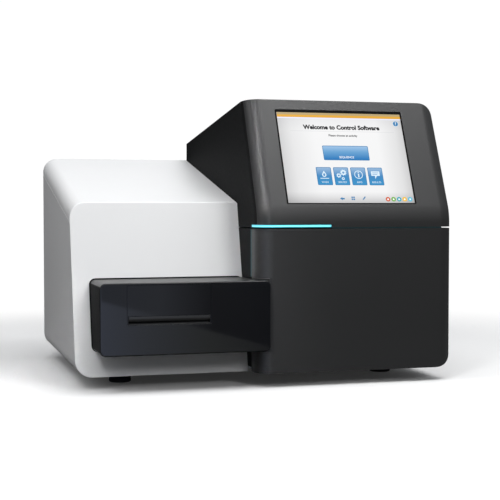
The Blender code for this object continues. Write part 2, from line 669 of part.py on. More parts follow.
def build_rear_fittings():
    """Fan, mains inlet with its rocker switch, and the data sockets."""
    body = rectangle(FAN_X - 46, FAN_Z - 46, FAN_X + 46, FAN_Z + 46, 4, 2)
    bore = circle(FAN_X, FAN_Z, FAN_BORE + 2, 32)
    prism("fan_frame", body, "Y", 248.5, PANEL_Y - GAP, "black_trim", [bore])
    rotor = cylinder("fan_rotor", (FAN_X, 252, FAN_Z), 17, 18, "Y", "black_trim", 20)
    for blade in range(7):
        vane = box("fan_blade", (-6, -0.9, 14), (6, 0.9, 41))
        turn = Matrix.Rotation(2 * math.pi * blade / 7, 4, "Y")
        pitch = Matrix.Rotation(math.radians(38), 4, "Z")
        middle = vane.location.copy()
        vane.matrix_world = (Matrix.Translation((FAN_X * MM, 0.261, FAN_Z * MM)) @ turn @ pitch
                             @ Matrix.Translation(middle))
        combine(rotor, vane, "UNION")
    on_joint("fan_axis", (FAN_X, 252, FAN_Z), rotor)

    inlet = box("power_inlet", (INLET[0], 245, INLET[1]), (INLET[2], 280, INLET[3]), "black_trim")
    combine(inlet, prism("inlet_socket", rectangle(289, 65.5, 312, 86.5, 4, 2), "Y", 262, 290))
    combine(inlet, box("switch_pocket", (269.5, 266, 64), (286.5, 290, 88)))
    rocker = prism("power_switch", [(277.5, 65.1), (281.6, 65.1), (279.2, 76), (281.6, 86.9),
                                    (277.5, 86.9), (271, 76)], "X", 270, 286, "black_trim")
    on_joint("switch_pivot", (278, 276, 76), rocker)

    for name, (x0, z0, x1, z1) in SOCKETS.items():
        socket = box(name, (x0 + 0.4, 262, z0 + 0.4), (x1 - 0.4, 278, z1 - 0.4), "zinc_steel")
        combine(socket, box(name + "_mouth", (x0 + 1.6, 266, z0 + 1.6),
                            (x1 - 1.6, 290, z1 - 1.6)))


def build_door():
    plan = rounded([(SPLIT_X, DOOR_LEFT_END), (SPLIT_X, DOOR_FRONT, PLAN_RADIUS),
                    (HALF_WIDTH, DOOR_FRONT, EDGE_RADIUS), (HALF_WIDTH, DOOR_LEFT_END)])
    door = prism("reagent_door", plan, "Z", DARK_BOTTOM, DOOR_TOP, "dark_cover")
    face = rounded([(SPLIT_X - 9, DARK_BOTTOM - 1), (SPLIT_X - 9, 300),
                    (HALF_WIDTH, 300), (HALF_WIDTH, DARK_BOTTOM, DARK_RADIUS),
                    (HALF_WIDTH - 60, DARK_BOTTOM), (HALF_WIDTH - 60, DARK_BOTTOM - 1)])
    combine(door, prism("door_face", face, "Y", -300, -200), "INTERSECT")
    inner_plan = rounded([(SPLIT_X + WALL, -150), (SPLIT_X + WALL, DOOR_FRONT + WALL,
                                                   PLAN_RADIUS - WALL),
                          (HALF_WIDTH - WALL, DOOR_FRONT + WALL, EDGE_RADIUS - WALL),
                          (HALF_WIDTH - WALL, -150)])
    hollow = prism("door_hollow", inner_plan, "Z", DARK_BOTTOM + WALL, DOOR_TOP - WALL)
    inner_face = rounded([(SPLIT_X, DARK_BOTTOM), (SPLIT_X, 290), (HALF_WIDTH - WALL, 290),
                          (HALF_WIDTH - WALL, DARK_BOTTOM + WALL, DARK_RADIUS - WALL),
                          (HALF_WIDTH - 60, DARK_BOTTOM + WALL), (HALF_WIDTH - 60, DARK_BOTTOM)])
    combine(hollow, prism("hollow_face", inner_face, "Y", -300, -100), "INTERSECT")
    combine(door, hollow)
    combine(door, box("hinge_side_gap", (HALF_WIDTH - 40, DOOR_RIGHT_END, 0),
                      (HALF_WIDTH + 10, -200, 300)))
    combine(door, box("visor_notch", (-60, -300, VISOR_BOTTOM - 3), (-10, -200, VISOR_TOP + 3)))
    leaf = build_leaf("door_hinge_leaf", (0, 2, 4), HINGE_X + KNUCKLE_R - LEAF, HINGE_Y - 13)
    catch = box("door_catch_plate", (-24, -236, 238), (-12, -233, 262), "zinc_steel")
    on_joint("door_pivot", (HINGE_X, HINGE_Y, 0), door, leaf, catch)

    plate_x = HINGE_X - KNUCKLE_R
    fixed = build_leaf("frame_hinge_leaf", (1, 3), plate_x, HINGE_Y + 30)
    combine(fixed, box("frame_leaf_flange", (BAY_SIDE_X + GAP, HINGE_Y + 28.5, HINGE_LOW + 40.5),
                       (plate_x + 1, HINGE_Y + 29.9, HINGE_LOW + 159.5)), "UNION")
    cylinder("hinge_pin", (HINGE_X, HINGE_Y, HINGE_LOW - 2), PIN_R, 5 * HINGE_PITCH + 4, "Z",
             "zinc_steel", 16)
    box("door_magnet", (-24, -232.4, 240), (-12, -222.3, 260), "black_trim", 1)


def build_leaf(name, turns, plate_x, far_y):
    """Half of the long hinge: knuckles round the pin, joined to a flat leaf."""
    near_y = HINGE_Y + math.copysign(1.0, far_y - HINGE_Y)
    height = HINGE_PITCH - 2 * GAP
    leaf = None
    for turn in turns:
        low = HINGE_LOW + turn * HINGE_PITCH + GAP
        knuckle = cylinder(name if leaf is None else name + "_knuckle",
                           (HINGE_X, HINGE_Y, low), KNUCKLE_R, height, "Z",
                           "zinc_steel" if leaf is None else None, 16)
        tab = box(name + "_tab", (plate_x, min(near_y, far_y), low),
                  (plate_x + LEAF, max(near_y, far_y), low + height))
        if leaf is None:
            leaf = knuckle
        else:
            combine(leaf, knuckle, "UNION")
        combine(leaf, tab, "UNION")
    strip_y = sorted((far_y, HINGE_Y + math.copysign(7.0, far_y - HINGE_Y)))
    strip_low = HINGE_LOW + turns[0] * HINGE_PITCH + GAP
    strip_high = HINGE_LOW + (turns[-1] + 1) * HINGE_PITCH - GAP
    strip = box(name + "_strip", (plate_x, strip_y[0], strip_low),
                (plate_x + LEAF, strip_y[1], strip_high))
    combine(leaf, strip, "UNION")
    combine(leaf, cylinder(name + "_bore", (HINGE_X, HINGE_Y, 0), PIN_R + 0.1, 300, "Z",
                           steps=16))
    return leaf


# ---------------------------------------------------------------- reagent compartment
def build_reagent_bay():
    liner = box("reagent_bay", (-20, -222, 36), (BAY_SIDE_X, 30, 272), "inner_grey")
    combine(liner, box("reagent_hollow", (-17, -260, 39), (BAY_SIDE_X - 3, 27, 269)))

    chiller = box("reagent_chiller", (-8, -205, 42), (148, 22, 150), "inner_grey", 2)
    combine(chiller, box("chiller_hollow", (-3, -260, 48), (143, 15, 118)))

    tray = box("reagent_tray", (0, -200, 49), (140, -10, 56), "black_trim")
    combine(tray, box("tray_front", (0, -208.5, 49), (140, -198, 112)), "UNION")
    combine(tray, box("tray_grip", (45, -215, 92), (95, -203, 106)))
    cartridge = box("reagent_cartridge", (4, -196, 56.3), (136, -16, 106), "cartridge_plastic", 2)
    on_joint("drawer_slide", (70, -208.5, 49), tray, cartridge)


def build_bottles():
    outer = [(14, 160), (14, 143), (BOTTLE_R, 128), (BOTTLE_R, BOTTLE_LOW + 1.7),
             (BOTTLE_R - 1.5, BOTTLE_LOW), (0, BOTTLE_LOW)]
    inner = [(0, 42.5), (BOTTLE_R - 2, 42.5), (BOTTLE_R - 2, 127), (12, 142), (12, 160)]
    cap = [(17, 166), (17, 148), (14.3, 148), (14.3, 163), (9, 163), (9, 166)]
    for name, (x, cap_slot) in BOTTLES.items():
        bottle = turned(name, inner + outer, (x, BOTTLE_Y, 0), "bottle_plastic", 24)
        lid = turned(name + "_cap", cap, (x, BOTTLE_Y, 0), cap_slot, 24)
        on_joint(name + "_slide", (x, BOTTLE_Y, BOTTLE_LOW), bottle, lid)


def build_sipper():
    """Bar with two dip tubes on guide rods, worked by a lever in front of it."""
    bar = box("sipper_bar", (160, -138, SIPPER_Z), (310, -112, SIPPER_Z + 16),
              "machined_aluminium", 1)
    for x, _ in BOTTLES.values():
        combine(bar, cylinder("dip_tube", (x, BOTTLE_Y, 172), 3, 40, "Z", steps=12), "UNION")
    for name, x in (("sipper_guide_left", 171.0), ("sipper_guide_right", 299.0)):
        cylinder(name, (x, BOTTLE_Y, 160), 3.5, 108.7, "Z", "zinc_steel", 16)
        combine(bar, cylinder("guide_bore", (x, BOTTLE_Y, 195), 3.9, 40, "Z", steps=16))
    on_joint("sipper_lift", (235, BOTTLE_Y, SIPPER_Z), bar)

    left, right, back = LEVER_LEFT, LEVER_RIGHT, LEVER_Y + 6
    loop = rounded([(left, back), (left, -213, 6), (right, -213, 6), (right, back),
                    (right - 5, back), (right - 5, -201, 3), (left + 5, -201, 3),
                    (left + 5, back)], steps=3)
    lever = prism("sipper_lever", loop, "Z", LEVER_Z - 5, LEVER_Z + 5, "black_trim")
    on_joint("lever_pivot", ((left + right) / 2, LEVER_Y, LEVER_Z), lever)


build_base()
build_white_covers()
build_optics_frame()
build_visor()
build_stage()
build_optics()
build_upper_shell()
build_dark_panels()
build_rear_panels()
build_rear_fittings()
build_door()
build_reagent_bay()
build_bottles()
build_sipper()
bpy.context.view_layer.update()
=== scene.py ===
import math

import bmesh
import bpy
from mathutils import Matrix, Vector


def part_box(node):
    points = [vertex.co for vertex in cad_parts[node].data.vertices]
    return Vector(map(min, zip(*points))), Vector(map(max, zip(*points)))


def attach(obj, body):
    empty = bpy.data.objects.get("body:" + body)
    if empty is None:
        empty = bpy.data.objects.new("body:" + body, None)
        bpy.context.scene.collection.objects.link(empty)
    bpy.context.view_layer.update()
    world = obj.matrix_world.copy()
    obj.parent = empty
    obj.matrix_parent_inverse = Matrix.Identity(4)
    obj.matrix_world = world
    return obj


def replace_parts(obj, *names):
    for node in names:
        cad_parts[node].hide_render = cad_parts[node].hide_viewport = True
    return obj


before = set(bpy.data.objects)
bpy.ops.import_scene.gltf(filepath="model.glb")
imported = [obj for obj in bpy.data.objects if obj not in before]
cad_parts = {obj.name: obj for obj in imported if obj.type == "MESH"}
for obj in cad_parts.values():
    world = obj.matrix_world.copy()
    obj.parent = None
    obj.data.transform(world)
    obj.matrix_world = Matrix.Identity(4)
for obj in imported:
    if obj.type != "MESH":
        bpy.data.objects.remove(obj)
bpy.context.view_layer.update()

MM = 0.001
scene = bpy.context.scene


def span(node):
    """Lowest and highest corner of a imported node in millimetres."""
    low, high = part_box(node)
    return low / MM, high / MM


# ---- planes and radii that the covers share ----
SHEET = 2.5                 # folded sheet covers
WALL = 3.0                  # moulded covers
FASCIA_LOW, FASCIA_HIGH = span("optics_fascia")
FASCIA_LEAN = 0.246         # dY / dZ of the white fascia
FASCIA_THICK = 4.0
FASCIA_FOOT_Y = FASCIA_LOW.y
WHITE_BOTTOM = span("optics_side_panel")[0].z
WHITE_TOP_SLOPE = 0.2247    # dZ / dY of the white top
WHITE_RADIUS = 28.0
FASCIA_RADIUS = 30.0
SEAM_DROP = 33.5
SHELL_LOW, SHELL_HIGH = span("upper_shell")
DOOR_LOW, DOOR_HIGH = span("reagent_door")
LEFT = FASCIA_LOW.x
RIGHT = SHELL_HIGH.x
BACK = SHELL_HIGH.y
SPLIT_X = SHELL_LOW.x
DOOR_FRONT = DOOR_LOW.y
SCREEN_LEAN = 0.442         # dY / dZ of the sloping screen face
SCREEN_FOOT_Z = 307.0
BROW_RADIUS = 80.0
DARK_TOP = SHELL_HIGH.z
DARK_TOP_SLOPE = -0.129
PLAN_RADIUS = 30.0          # plan corner at the front left
EDGE_RADIUS = 29.0          # plan corner at the front right
DARK_RADIUS = 36.0          # right-hand corners seen from the front
VISOR_LOW, VISOR_HIGH = span("visor_shell")
VISOR_RADIUS = 9.5
SEAM_GAP = 0.3
FLANGE_LEFT = 300.0         # left edge of the right side panel's flange
BAR_RIGHT = 103.0           # right end of the status light bar
BAR_BACK = -229.0           # back end of the bar, on the left side
SLOT_BACK = BAR_BACK + 0.5
SLOT_RIGHT = BAR_RIGHT + 2.0
SLOPE = math.hypot(1, FASCIA_LEAN)      # length along the fascia for each unit of height
FASCIA_TOP = 326.0


# ---------------------------------------------------------------- outlines
def rounded(corners, closed=True, steps=12):
    """Points through corners (u, v) or (u, v, radius), each radius drawn as an arc."""
    points = []
    count = len(corners)
    for index, corner in enumerate(corners):
        here = Vector(corner[:2])
        radius = corner[2] if len(corner) > 2 else 0.0
        at_end = not closed and index in (0, count - 1)
        if radius == 0.0 or at_end:
            points.append(tuple(here))
            continue
        to_last = (Vector(corners[index - 1][:2]) - here).normalized()
        to_next = (Vector(corners[(index + 1) % count][:2]) - here).normalized()
        half = to_last.angle(to_next) / 2
        centre = here + (to_last + to_next).normalized() * (radius / math.sin(half))
        first = here + to_last * (radius / math.tan(half)) - centre
        last = here + to_next * (radius / math.tan(half)) - centre
        turn = first.angle_signed(last)
        start = math.atan2(first.y, first.x)
        for step in range(steps + 1):
            angle = start - turn * step / steps
            points.append((centre.x + radius * math.cos(angle),
                           centre.y + radius * math.sin(angle)))
    return points


def rectangle(u0, v0, u1, v1, radius=0.0, steps=6):
    corners = [(u0, v0, radius), (u1, v0, radius), (u1, v1, radius), (u0, v1, radius)]
    return rounded(corners, steps=steps)


def circle(u, v, radius, steps=48):
    angles = [2 * math.pi * step / steps for step in range(steps)]
    return [(u + radius * math.cos(angle), v + radius * math.sin(angle)) for angle in angles]


def fascia_y(z, inset=0.0):
    """Y of the fascia's front plane at a height, moved back square to the plane by inset."""
    return FASCIA_FOOT_Y + FASCIA_LEAN * (z - WHITE_BOTTOM) + inset * SLOPE



def white_top_z(y):
    return FASCIA_TOP + WHITE_TOP_SLOPE * (y - fascia_y(FASCIA_TOP))


def dark_front_y(z):
    """Y of the upper shell's front: plumb, then an arc, then the sloping screen face."""
    lean = math.atan(SCREEN_LEAN)
    rise = z - (SCREEN_FOOT_Z - BROW_RADIUS * math.tan(lean / 2))
    if rise <= 0:
        return DOOR_FRONT
    if rise >= BROW_RADIUS * math.sin(lean):
        return DOOR_FRONT + SCREEN_LEAN * (z - SCREEN_FOOT_Z)
    return DOOR_FRONT + BROW_RADIUS - math.sqrt(BROW_RADIUS ** 2 - rise ** 2)


# ---------------------------------------------------------------- materials
# sockets of a Mix node that carry colours
MIX_COLOUR_A, MIX_COLOUR_B, MIXED_COLOUR = 6, 7, 2


def set_inputs(node, values):
    """Inputs of a node: a socket is linked, anything else is a constant."""
    for key, value in values.items():
        if isinstance(value, bpy.types.NodeSocket):
            node.id_data.links.new(value, node.inputs[key])
        else:
            node.inputs[key].default_value = value


def add_node(tree, kind, inputs=None, **properties):
    """New node with its properties and inputs set."""
    node = tree.nodes.new(kind)
    for key, value in properties.items():
        setattr(node, key, value)
    set_inputs(node, inputs or {})
    return node


def add_range(tree, value, low, high, to_low=0.0, to_high=1.0, **properties):
    """Socket that carries a value from one range over to another."""
    inputs = {"Value": value, "From Min": low, "From Max": high, "To Min": to_low,
              "To Max": to_high}
    return add_node(tree, "ShaderNodeMapRange", inputs, **properties).outputs["Result"]


def split_axes(tree, space="Object"):
    """Sockets X, Y and Z of a point's coordinates."""
    vector = add_node(tree, "ShaderNodeTexCoord").outputs[space]
    return add_node(tree, "ShaderNodeSeparateXYZ", {"Vector": vector}).outputs


def new_material(name, shader="Principled BSDF"):
    """New material and its node tree, with its usual shader or with none."""
    material = bpy.data.materials.new(name)
    material.use_nodes = True
    if not shader:
        material.node_tree.nodes.remove(material.node_tree.nodes["Principled BSDF"])
    return material, material.node_tree


def surface(name, colour, roughness, metallic=0.0, grain=900.0, bump=0.05, tone=0.06,
            spread=0.06, specular=0.5, coat=0.0, stretch=(1.0, 1.0, 1.0), emission=None,
            strength=1.0, transmission=0.0, ior=1.45, subsurface=0.0):
    """Procedural finish: fine grain as bump, slow changes of tone and of roughness."""
    material, tree = new_material(name)
    coords = add_node(tree, "ShaderNodeTexCoord").outputs["Object"]
    place = add_node(tree, "ShaderNodeMapping", {"Vector": coords, "Scale": stretch})

    def noise(scale, detail, rough=0.5):
        inputs = {"Vector": place.outputs["Vector"], "Scale": scale, "Detail": detail,
                  "Roughness": rough}
        return add_node(tree, "ShaderNodeTexNoise", inputs).outputs["Fac"]

    darker = (*[value * (1 - tone) for value in colour], 1.0)
    lighter = (*[min(1.0, value * (1 + tone)) for value in colour], 1.0)
    mix = add_node(tree, "ShaderNodeMix", {"Factor": noise(9.0, 2.0), MIX_COLOUR_A: darker,
                                           MIX_COLOUR_B: lighter}, data_type="RGBA")
    relief = add_node(tree, "ShaderNodeBump", {"Strength": bump, "Distance": 0.0004,
                                               "Height": noise(grain, 4.0, 0.6)})
    shader = tree.nodes["Principled BSDF"]
    set_inputs(shader, {
        "Base Color": mix.outputs[MIXED_COLOUR],
        "Roughness": add_range(tree, noise(grain / 12, 3.0), 0.0, 1.0,
                               max(0.02, roughness - spread), min(1.0, roughness + spread)),
        "Normal": relief.outputs["Normal"], "Metallic": metallic, "IOR": ior,
        "Specular IOR Level": specular, "Coat Weight": coat,
        "Transmission Weight": transmission, "Subsurface Weight": subsurface})
    if emission:
        set_inputs(shader, {"Emission Color": (*emission, 1.0), "Emission Strength": strength})
    material.diffuse_color = (*colour, 1.0)
    return material


# colour, roughness and the other settings of each finish
FINISHES = {
    "white_cover": ((0.84, 0.845, 0.85), 0.38, dict(grain=1400, bump=0.06, tone=0.012,
        spread=0.05)),
    "grey_panel": ((0.72, 0.72, 0.725), 0.45, dict(grain=1400, bump=0.1, tone=0.02)),
    "dark_cover": ((0.027, 0.0274, 0.0282), 0.4, dict(grain=1800, bump=0.14, tone=0.05,
        specular=0.5)),
    "visor_black": ((0.006, 0.0065, 0.008), 0.06, dict(grain=500, bump=0.004, tone=0.05,
        spread=0.02, specular=0.5)),
    "visor_wall": ((0.024, 0.024, 0.0235), 0.34, dict(grain=1200, bump=0.05, tone=0.05,
        specular=0.52)),
    # painted light: lighter copy of the visor's black for the inside of the finger recess and its
    # lip
    "grip_painted_light": ((0.03, 0.031, 0.032), 0.34, dict(grain=1200, bump=0.05, tone=0.05,
        specular=0.5)),
    # painted shade: darker, duller copy of dark_cover for faces that look to the left and for the
    # partition
    "matt_painted_shade": ((0.01, 0.0102, 0.0106), 0.62, dict(grain=1800, bump=0.14, tone=0.05,
        specular=0.05)),
    "status_light": ((0.1, 0.75, 0.9), 0.3, dict(emission=(0.14, 0.6, 0.68), bump=0.02)),
    # painted shade: flat black for the shadowed gap round the visor
    "gap_shadow_black": ((0.0015, 0.0015, 0.0015), 0.9, dict(bump=0.02, specular=0.0)),
    "rim_black": ((0.004, 0.004, 0.004), 0.55, dict(bump=0.02, specular=0.04)),
    # painted light: glows standing in for the bar's light spilling into the seams
    "dim_light": ((0.01, 0.03, 0.03), 0.4, dict(emission=(0.012, 0.1, 0.12), bump=0.02)),
    "faint_light": ((0.01, 0.012, 0.012), 0.5, dict(emission=(0.003, 0.018, 0.022), bump=0.02)),
    "black_trim": ((0.01, 0.01, 0.011), 0.48, dict(grain=1500, bump=0.1)),
    "rubber_foot": ((0.018, 0.018, 0.019), 0.75, dict(grain=1000, bump=0.25)),
    "zinc_steel": ((0.55, 0.56, 0.58), 0.36, dict(metallic=1.0, grain=420, bump=0.05, tone=0.12,
        spread=0.1)),
    "black_steel": ((0.03, 0.03, 0.032), 0.45, dict(metallic=0.6, grain=700, bump=0.08)),
    "machined_aluminium": ((0.75, 0.76, 0.78), 0.3, dict(metallic=1.0, grain=300, bump=0.06,
        tone=0.04, stretch=(1, 14, 14))),
    "inner_grey": ((0.4, 0.41, 0.43), 0.5, dict(grain=1200, bump=0.12)),
    "clear_glass": ((0.86, 0.93, 0.95), 0.04, dict(bump=0.0, tone=0.01, spread=0.01,
        transmission=0.85, ior=1.5)),
    "lane_blue": ((0.2, 0.34, 0.42), 0.08, dict(bump=0.0, transmission=0.4)),
    "coated_lens": ((0.1, 0.05, 0.22), 0.03, dict(bump=0.0, specular=0.9, coat=1.0)),
    "bay_light": ((0.8, 0.8, 0.8), 0.5, dict(emission=(0.9, 0.96, 1.0), strength=2.0, bump=0.02)),
    "wash_liquid": ((0.72, 0.82, 0.86), 0.08, dict(bump=0.0, tone=0.01, spread=0.01,
        transmission=0.8, ior=1.33)),
    "hose_clear": ((0.8, 0.84, 0.86), 0.2, dict(bump=0.02, transmission=0.5)),
    "cartridge_plastic": ((0.78, 0.8, 0.82), 0.38, dict(grain=900, bump=0.06, tone=0.02,
        subsurface=0.1)),
    "bottle_plastic": ((0.8, 0.84, 0.86), 0.3, dict(grain=900, bump=0.02, tone=0.01, spread=0.01,
        transmission=0.3)),
    "cap_blue": ((0.05, 0.2, 0.5), 0.36, dict(grain=1000, bump=0.06)),
    "button_orange": ((0.75, 0.28, 0.04), 0.36, dict(grain=1000, bump=0.06)),
}
LOOK = {name: surface(name, colour, roughness, **options)
        for name, (colour, roughness, options) in FINISHES.items()}


# ---------------------------------------------------------------- building
PLANES = {
    "X": Matrix(((0, 0, 1, 0), (1, 0, 0, 0), (0, 1, 0, 0), (0, 0, 0, 1))),     # (u, v) = (Y, Z)
    "Y": Matrix(((1, 0, 0, 0), (0, 0, -1, 0), (0, 1, 0, 0), (0, 0, 0, 1))),    # (u, v) = (X, Z)
    "Z": Matrix.Identity(4),                                                   # (u, v) = (X, Y)
    "Y_back": Matrix(((1, 0, 0, 0), (0, 0, 1, 0), (0, 1, 0, 0), (0, 0, 0, 1))),  # heights to +Y
}
AXES = {"X": Vector((1, 0, 0)), "Y": Vector((0, 1, 0)), "Z": Vector((0, 0, 1))}


def leaning(y, z, degrees):
    """Frame at (0, y, z) whose upright axis leans back by an angle."""
    place = Matrix.Translation((0, y * MM, z * MM))
    return place @ Matrix.Rotation(-math.radians(degrees), 4, "X")


def from_bmesh(name, bm):
    mesh = bpy.data.meshes.new(name)
    bmesh.ops.recalc_face_normals(bm, faces=bm.faces)
    bm.to_mesh(mesh)
    bm.free()
    thing = bpy.data.objects.new(name, mesh)
    scene.collection.objects.link(thing)
    return thing


def block(name, low, high):
    bm = bmesh.new()
    bmesh.ops.create_cube(bm, size=1.0)
    bmesh.ops.scale(bm, vec=[(b - a) * MM for a, b in zip(low, high)], verts=bm.verts)
    bmesh.ops.translate(bm, vec=[(a + b) / 2 * MM for a, b in zip(low, high)], verts=bm.verts)
    return from_bmesh(name, bm)


def mesh_of(thing):
    """Final mesh of a body with its modifiers, or of a curve or a text."""
    bpy.context.view_layer.update()
    graph = bpy.context.evaluated_depsgraph_get()
    return bpy.data.meshes.new_from_object(thing.evaluated_get(graph))


def from_curve(name, curve, place, gap):
    """Closed body of a curve or a text, moved into place, with close points merged."""
    guide = bpy.data.objects.new(name + "_outline", curve)
    scene.collection.objects.link(guide)
    mesh = mesh_of(guide)
    bpy.data.objects.remove(guide, do_unlink=True)
    bm = bmesh.new()
    bm.from_mesh(mesh)
    bpy.data.meshes.remove(mesh)
    bmesh.ops.remove_doubles(bm, verts=bm.verts, dist=gap)
    bmesh.ops.transform(bm, matrix=place, verts=bm.verts)
    return from_bmesh(name, bm)


def add_spline(curve, points, closed=True):
    spline = curve.splines.new("POLY")
    spline.points.add(len(points) - 1)
    for target, point in zip(spline.points, points):
        target.co = (*point, 1)
    spline.use_cyclic_u = closed


def prism(name, outline, axis, start, end, holes=(), frame_matrix=None):
    """Flat outline with holes, thickened from start to end along an axis."""
    curve = bpy.data.curves.new(name, "CURVE")
    curve.dimensions = "2D"
    curve.fill_mode = "BOTH"
    curve.extrude = (end - start) / 2 * MM
    for loop in (outline, *holes):
        add_spline(curve, [(u * MM, v * MM, 0) for u, v in loop])
    middle = AXES[axis] * ((start + end) / 2 * MM)
    place = (frame_matrix or Matrix()) @ Matrix.Translation(middle) @ PLANES[axis]
    return from_curve(name, curve, place, 0.000005)


def tube(name, points, radius, closed=False):
    """Round bar or hose along points, with filled ends."""
    curve = bpy.data.curves.new(name, "CURVE")
    curve.dimensions = "3D"
    curve.bevel_depth = radius * MM
    curve.bevel_resolution = 4
    curve.use_fill_caps = True
    add_spline(curve, [Vector(point) * MM for point in points], closed)
    return from_curve(name, curve, Matrix(), 0.000002)


def bake(thing):
    """Apply the modifiers, so that the final mesh is the one that is kept."""
    mesh = mesh_of(thing)
    thing.modifiers.clear()
    thing.data = mesh
    return thing


def combine(thing, other, operation="DIFFERENCE"):
    """Cut, join or trim a piece with another, which is then gone."""
    modifier = thing.modifiers.new("combine", "BOOLEAN")
    modifier.operation = operation
    modifier.solver = "EXACT"
    modifier.object = other
    bake(thing)
    bpy.data.objects.remove(other, do_unlink=True)
    return thing


def add_bevel(thing, width, segments, degrees):
    edges = thing.modifiers.new("edges", "BEVEL")
    edges.width = width * MM
    edges.segments = segments
    edges.limit_method = "ANGLE"
    edges.angle_limit = math.radians(degrees)
    edges.use_clamp_overlap = True


def soften(thing, width=0, segments=2, degrees=35):
    """Rounded edges, then smooth shading that keeps the flats flat."""
    bm = bmesh.new()
    bm.from_mesh(thing.data)
    bmesh.ops.remove_doubles(bm, verts=bm.verts, dist=0.000004)
    bmesh.ops.dissolve_limit(bm, angle_limit=math.radians(0.5), verts=bm.verts, edges=bm.edges)
    bm.to_mesh(thing.data)
    bm.free()
    if width:
        add_bevel(thing, width, segments, degrees)
        bake(thing)
    thing.data.shade_smooth()
    thing.data.set_sharp_from_angle(angle=math.radians(40))
    thing.modifiers.new("flats", "WEIGHTED_NORMAL").keep_sharp = True
    return thing


def dress(thing, body, slot, replaces=(), look=None, edge=(0,)):
    """Softened edges (width, segments), material from the look or else from the slot's name, body
    and the nodes it stands for.
    """
    if edge:
        soften(thing, *edge)
    thing.data.materials.clear()
    thing.data.materials.append(LOOK[look or slot])
    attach(thing, body)
    if replaces:
        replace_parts(thing, *replaces)
    return thing


def shade_left_faces(thing, limit=-0.93):
    """Duller finish with painted shade, a darker colour, on the faces that look to the left."""
    thing.data.materials.append(LOOK["matt_painted_shade"])
    index = len(thing.data.materials) - 1
    for face in thing.data.polygons:
        if face.normal.x < limit:
            face.material_index = index


def loft(name, rows, closed=False):
    """Body through rings of points: its ends capped, or the last ring joined to the first."""
    bm = bmesh.new()
    loops = [[bm.verts.new(Vector(point) * MM) for point in row] for row in rows]
    count = len(loops[0])
    for low, high in zip(loops, loops[1:] + (loops[:1] if closed else [])):
        for index in range(count):
            after = (index + 1) % count
            bm.faces.new((low[index], low[after], high[after], high[index]))
    if not closed:
        bm.faces.new(loops[0])
        bm.faces.new(list(reversed(loops[-1])))
    return from_bmesh(name, bm)


def turned(name, profile, centre, axis="Z", steps=48):
    """Closed turned body: profile points (radius, height) along an axis through a centre."""
    bm = bmesh.new()
    rings = []
    for radius, height in profile:
        loop = circle(0, 0, radius, steps) if radius > 1e-6 else [(0, 0)]
        rings.append([bm.verts.new((u * MM, v * MM, height * MM)) for u, v in loop])
    hollow = len(rings[0]) > 1 and len(rings[-1]) > 1
    for low, high in zip(rings, rings[1:] + (rings[:1] if hollow else [])):
        for index in range(steps):
            after = (index + 1) % steps
            corners = dict.fromkeys((low[index % len(low)], low[after % len(low)],
                                     high[after % len(high)], high[index % len(high)]))
            if len(corners) > 2:
                bm.faces.new(list(corners))
    place = Matrix.Translation(Vector(centre) * MM) @ PLANES[axis]
    bmesh.ops.transform(bm, matrix=place, verts=bm.verts)
    return from_bmesh(name, bm)


def joined(name, things):
    """One piece from several separate closed bodies."""
    bm = bmesh.new()
    for thing in things:
        bm.from_mesh(thing.data)
        bpy.data.objects.remove(thing, do_unlink=True)
    return from_bmesh(name, bm)


def screws(name, places, axis, body, radius=3.2, outward=1):
    """Button-head screws with a hexagon socket, heads standing out along an axis."""
    crown = [(1, 0), (1, 0.12), (0.93, 0.34), (0.72, 0.52), (0.50, 0.58), (0.46, 0.52),
             (0.46, 0.16)]
    socket = [(0, 0.02 / radius), (0.47, 0.02 / radius), (0.47, 0.16), (0, 0.16)]
    heads = []
    for place in places:
        for profile, steps in ((crown, 24), (socket, 6)):
            profile = [(r * radius, h * radius * outward) for r, h in profile]
            heads.append(turned("head", profile, place, axis, steps))
    return dress(joined(name, heads), body, "zinc_steel")


def ribs(name, low, high, step, count, body, slot="black_trim", edge=(0.3,)):
    """Row of equal ribs: the first from low to high, each next one a step further."""
    low, high, step = Vector(low), Vector(high), Vector(step)
    row = [block("rib", low + step * index, high + step * index) for index in range(count)]
    return dress(joined(name, row), body, slot, edge=edge)


def offset_path(path, distance):
    """Path moved to its right-hand side by a distance, for a sheet's inner face."""
    moved = []
    for index, (u, v) in enumerate(path):
        before = Vector(path[max(index - 1, 0)])
        after = Vector(path[min(index + 1, len(path) - 1)])
        here = Vector((u, v))
        first = (here - before).normalized() if index else (after - here).normalized()
        last = (after - here).normalized() if index < len(path) - 1 else first
        tangent = (first + last).normalized()
        normal = Vector((tangent.y, -tangent.x))
        stretch = 1 / max(0.3, tangent.dot(first))
        moved.append((u + normal.x * distance * stretch, v + normal.y * distance * stretch))
    return moved


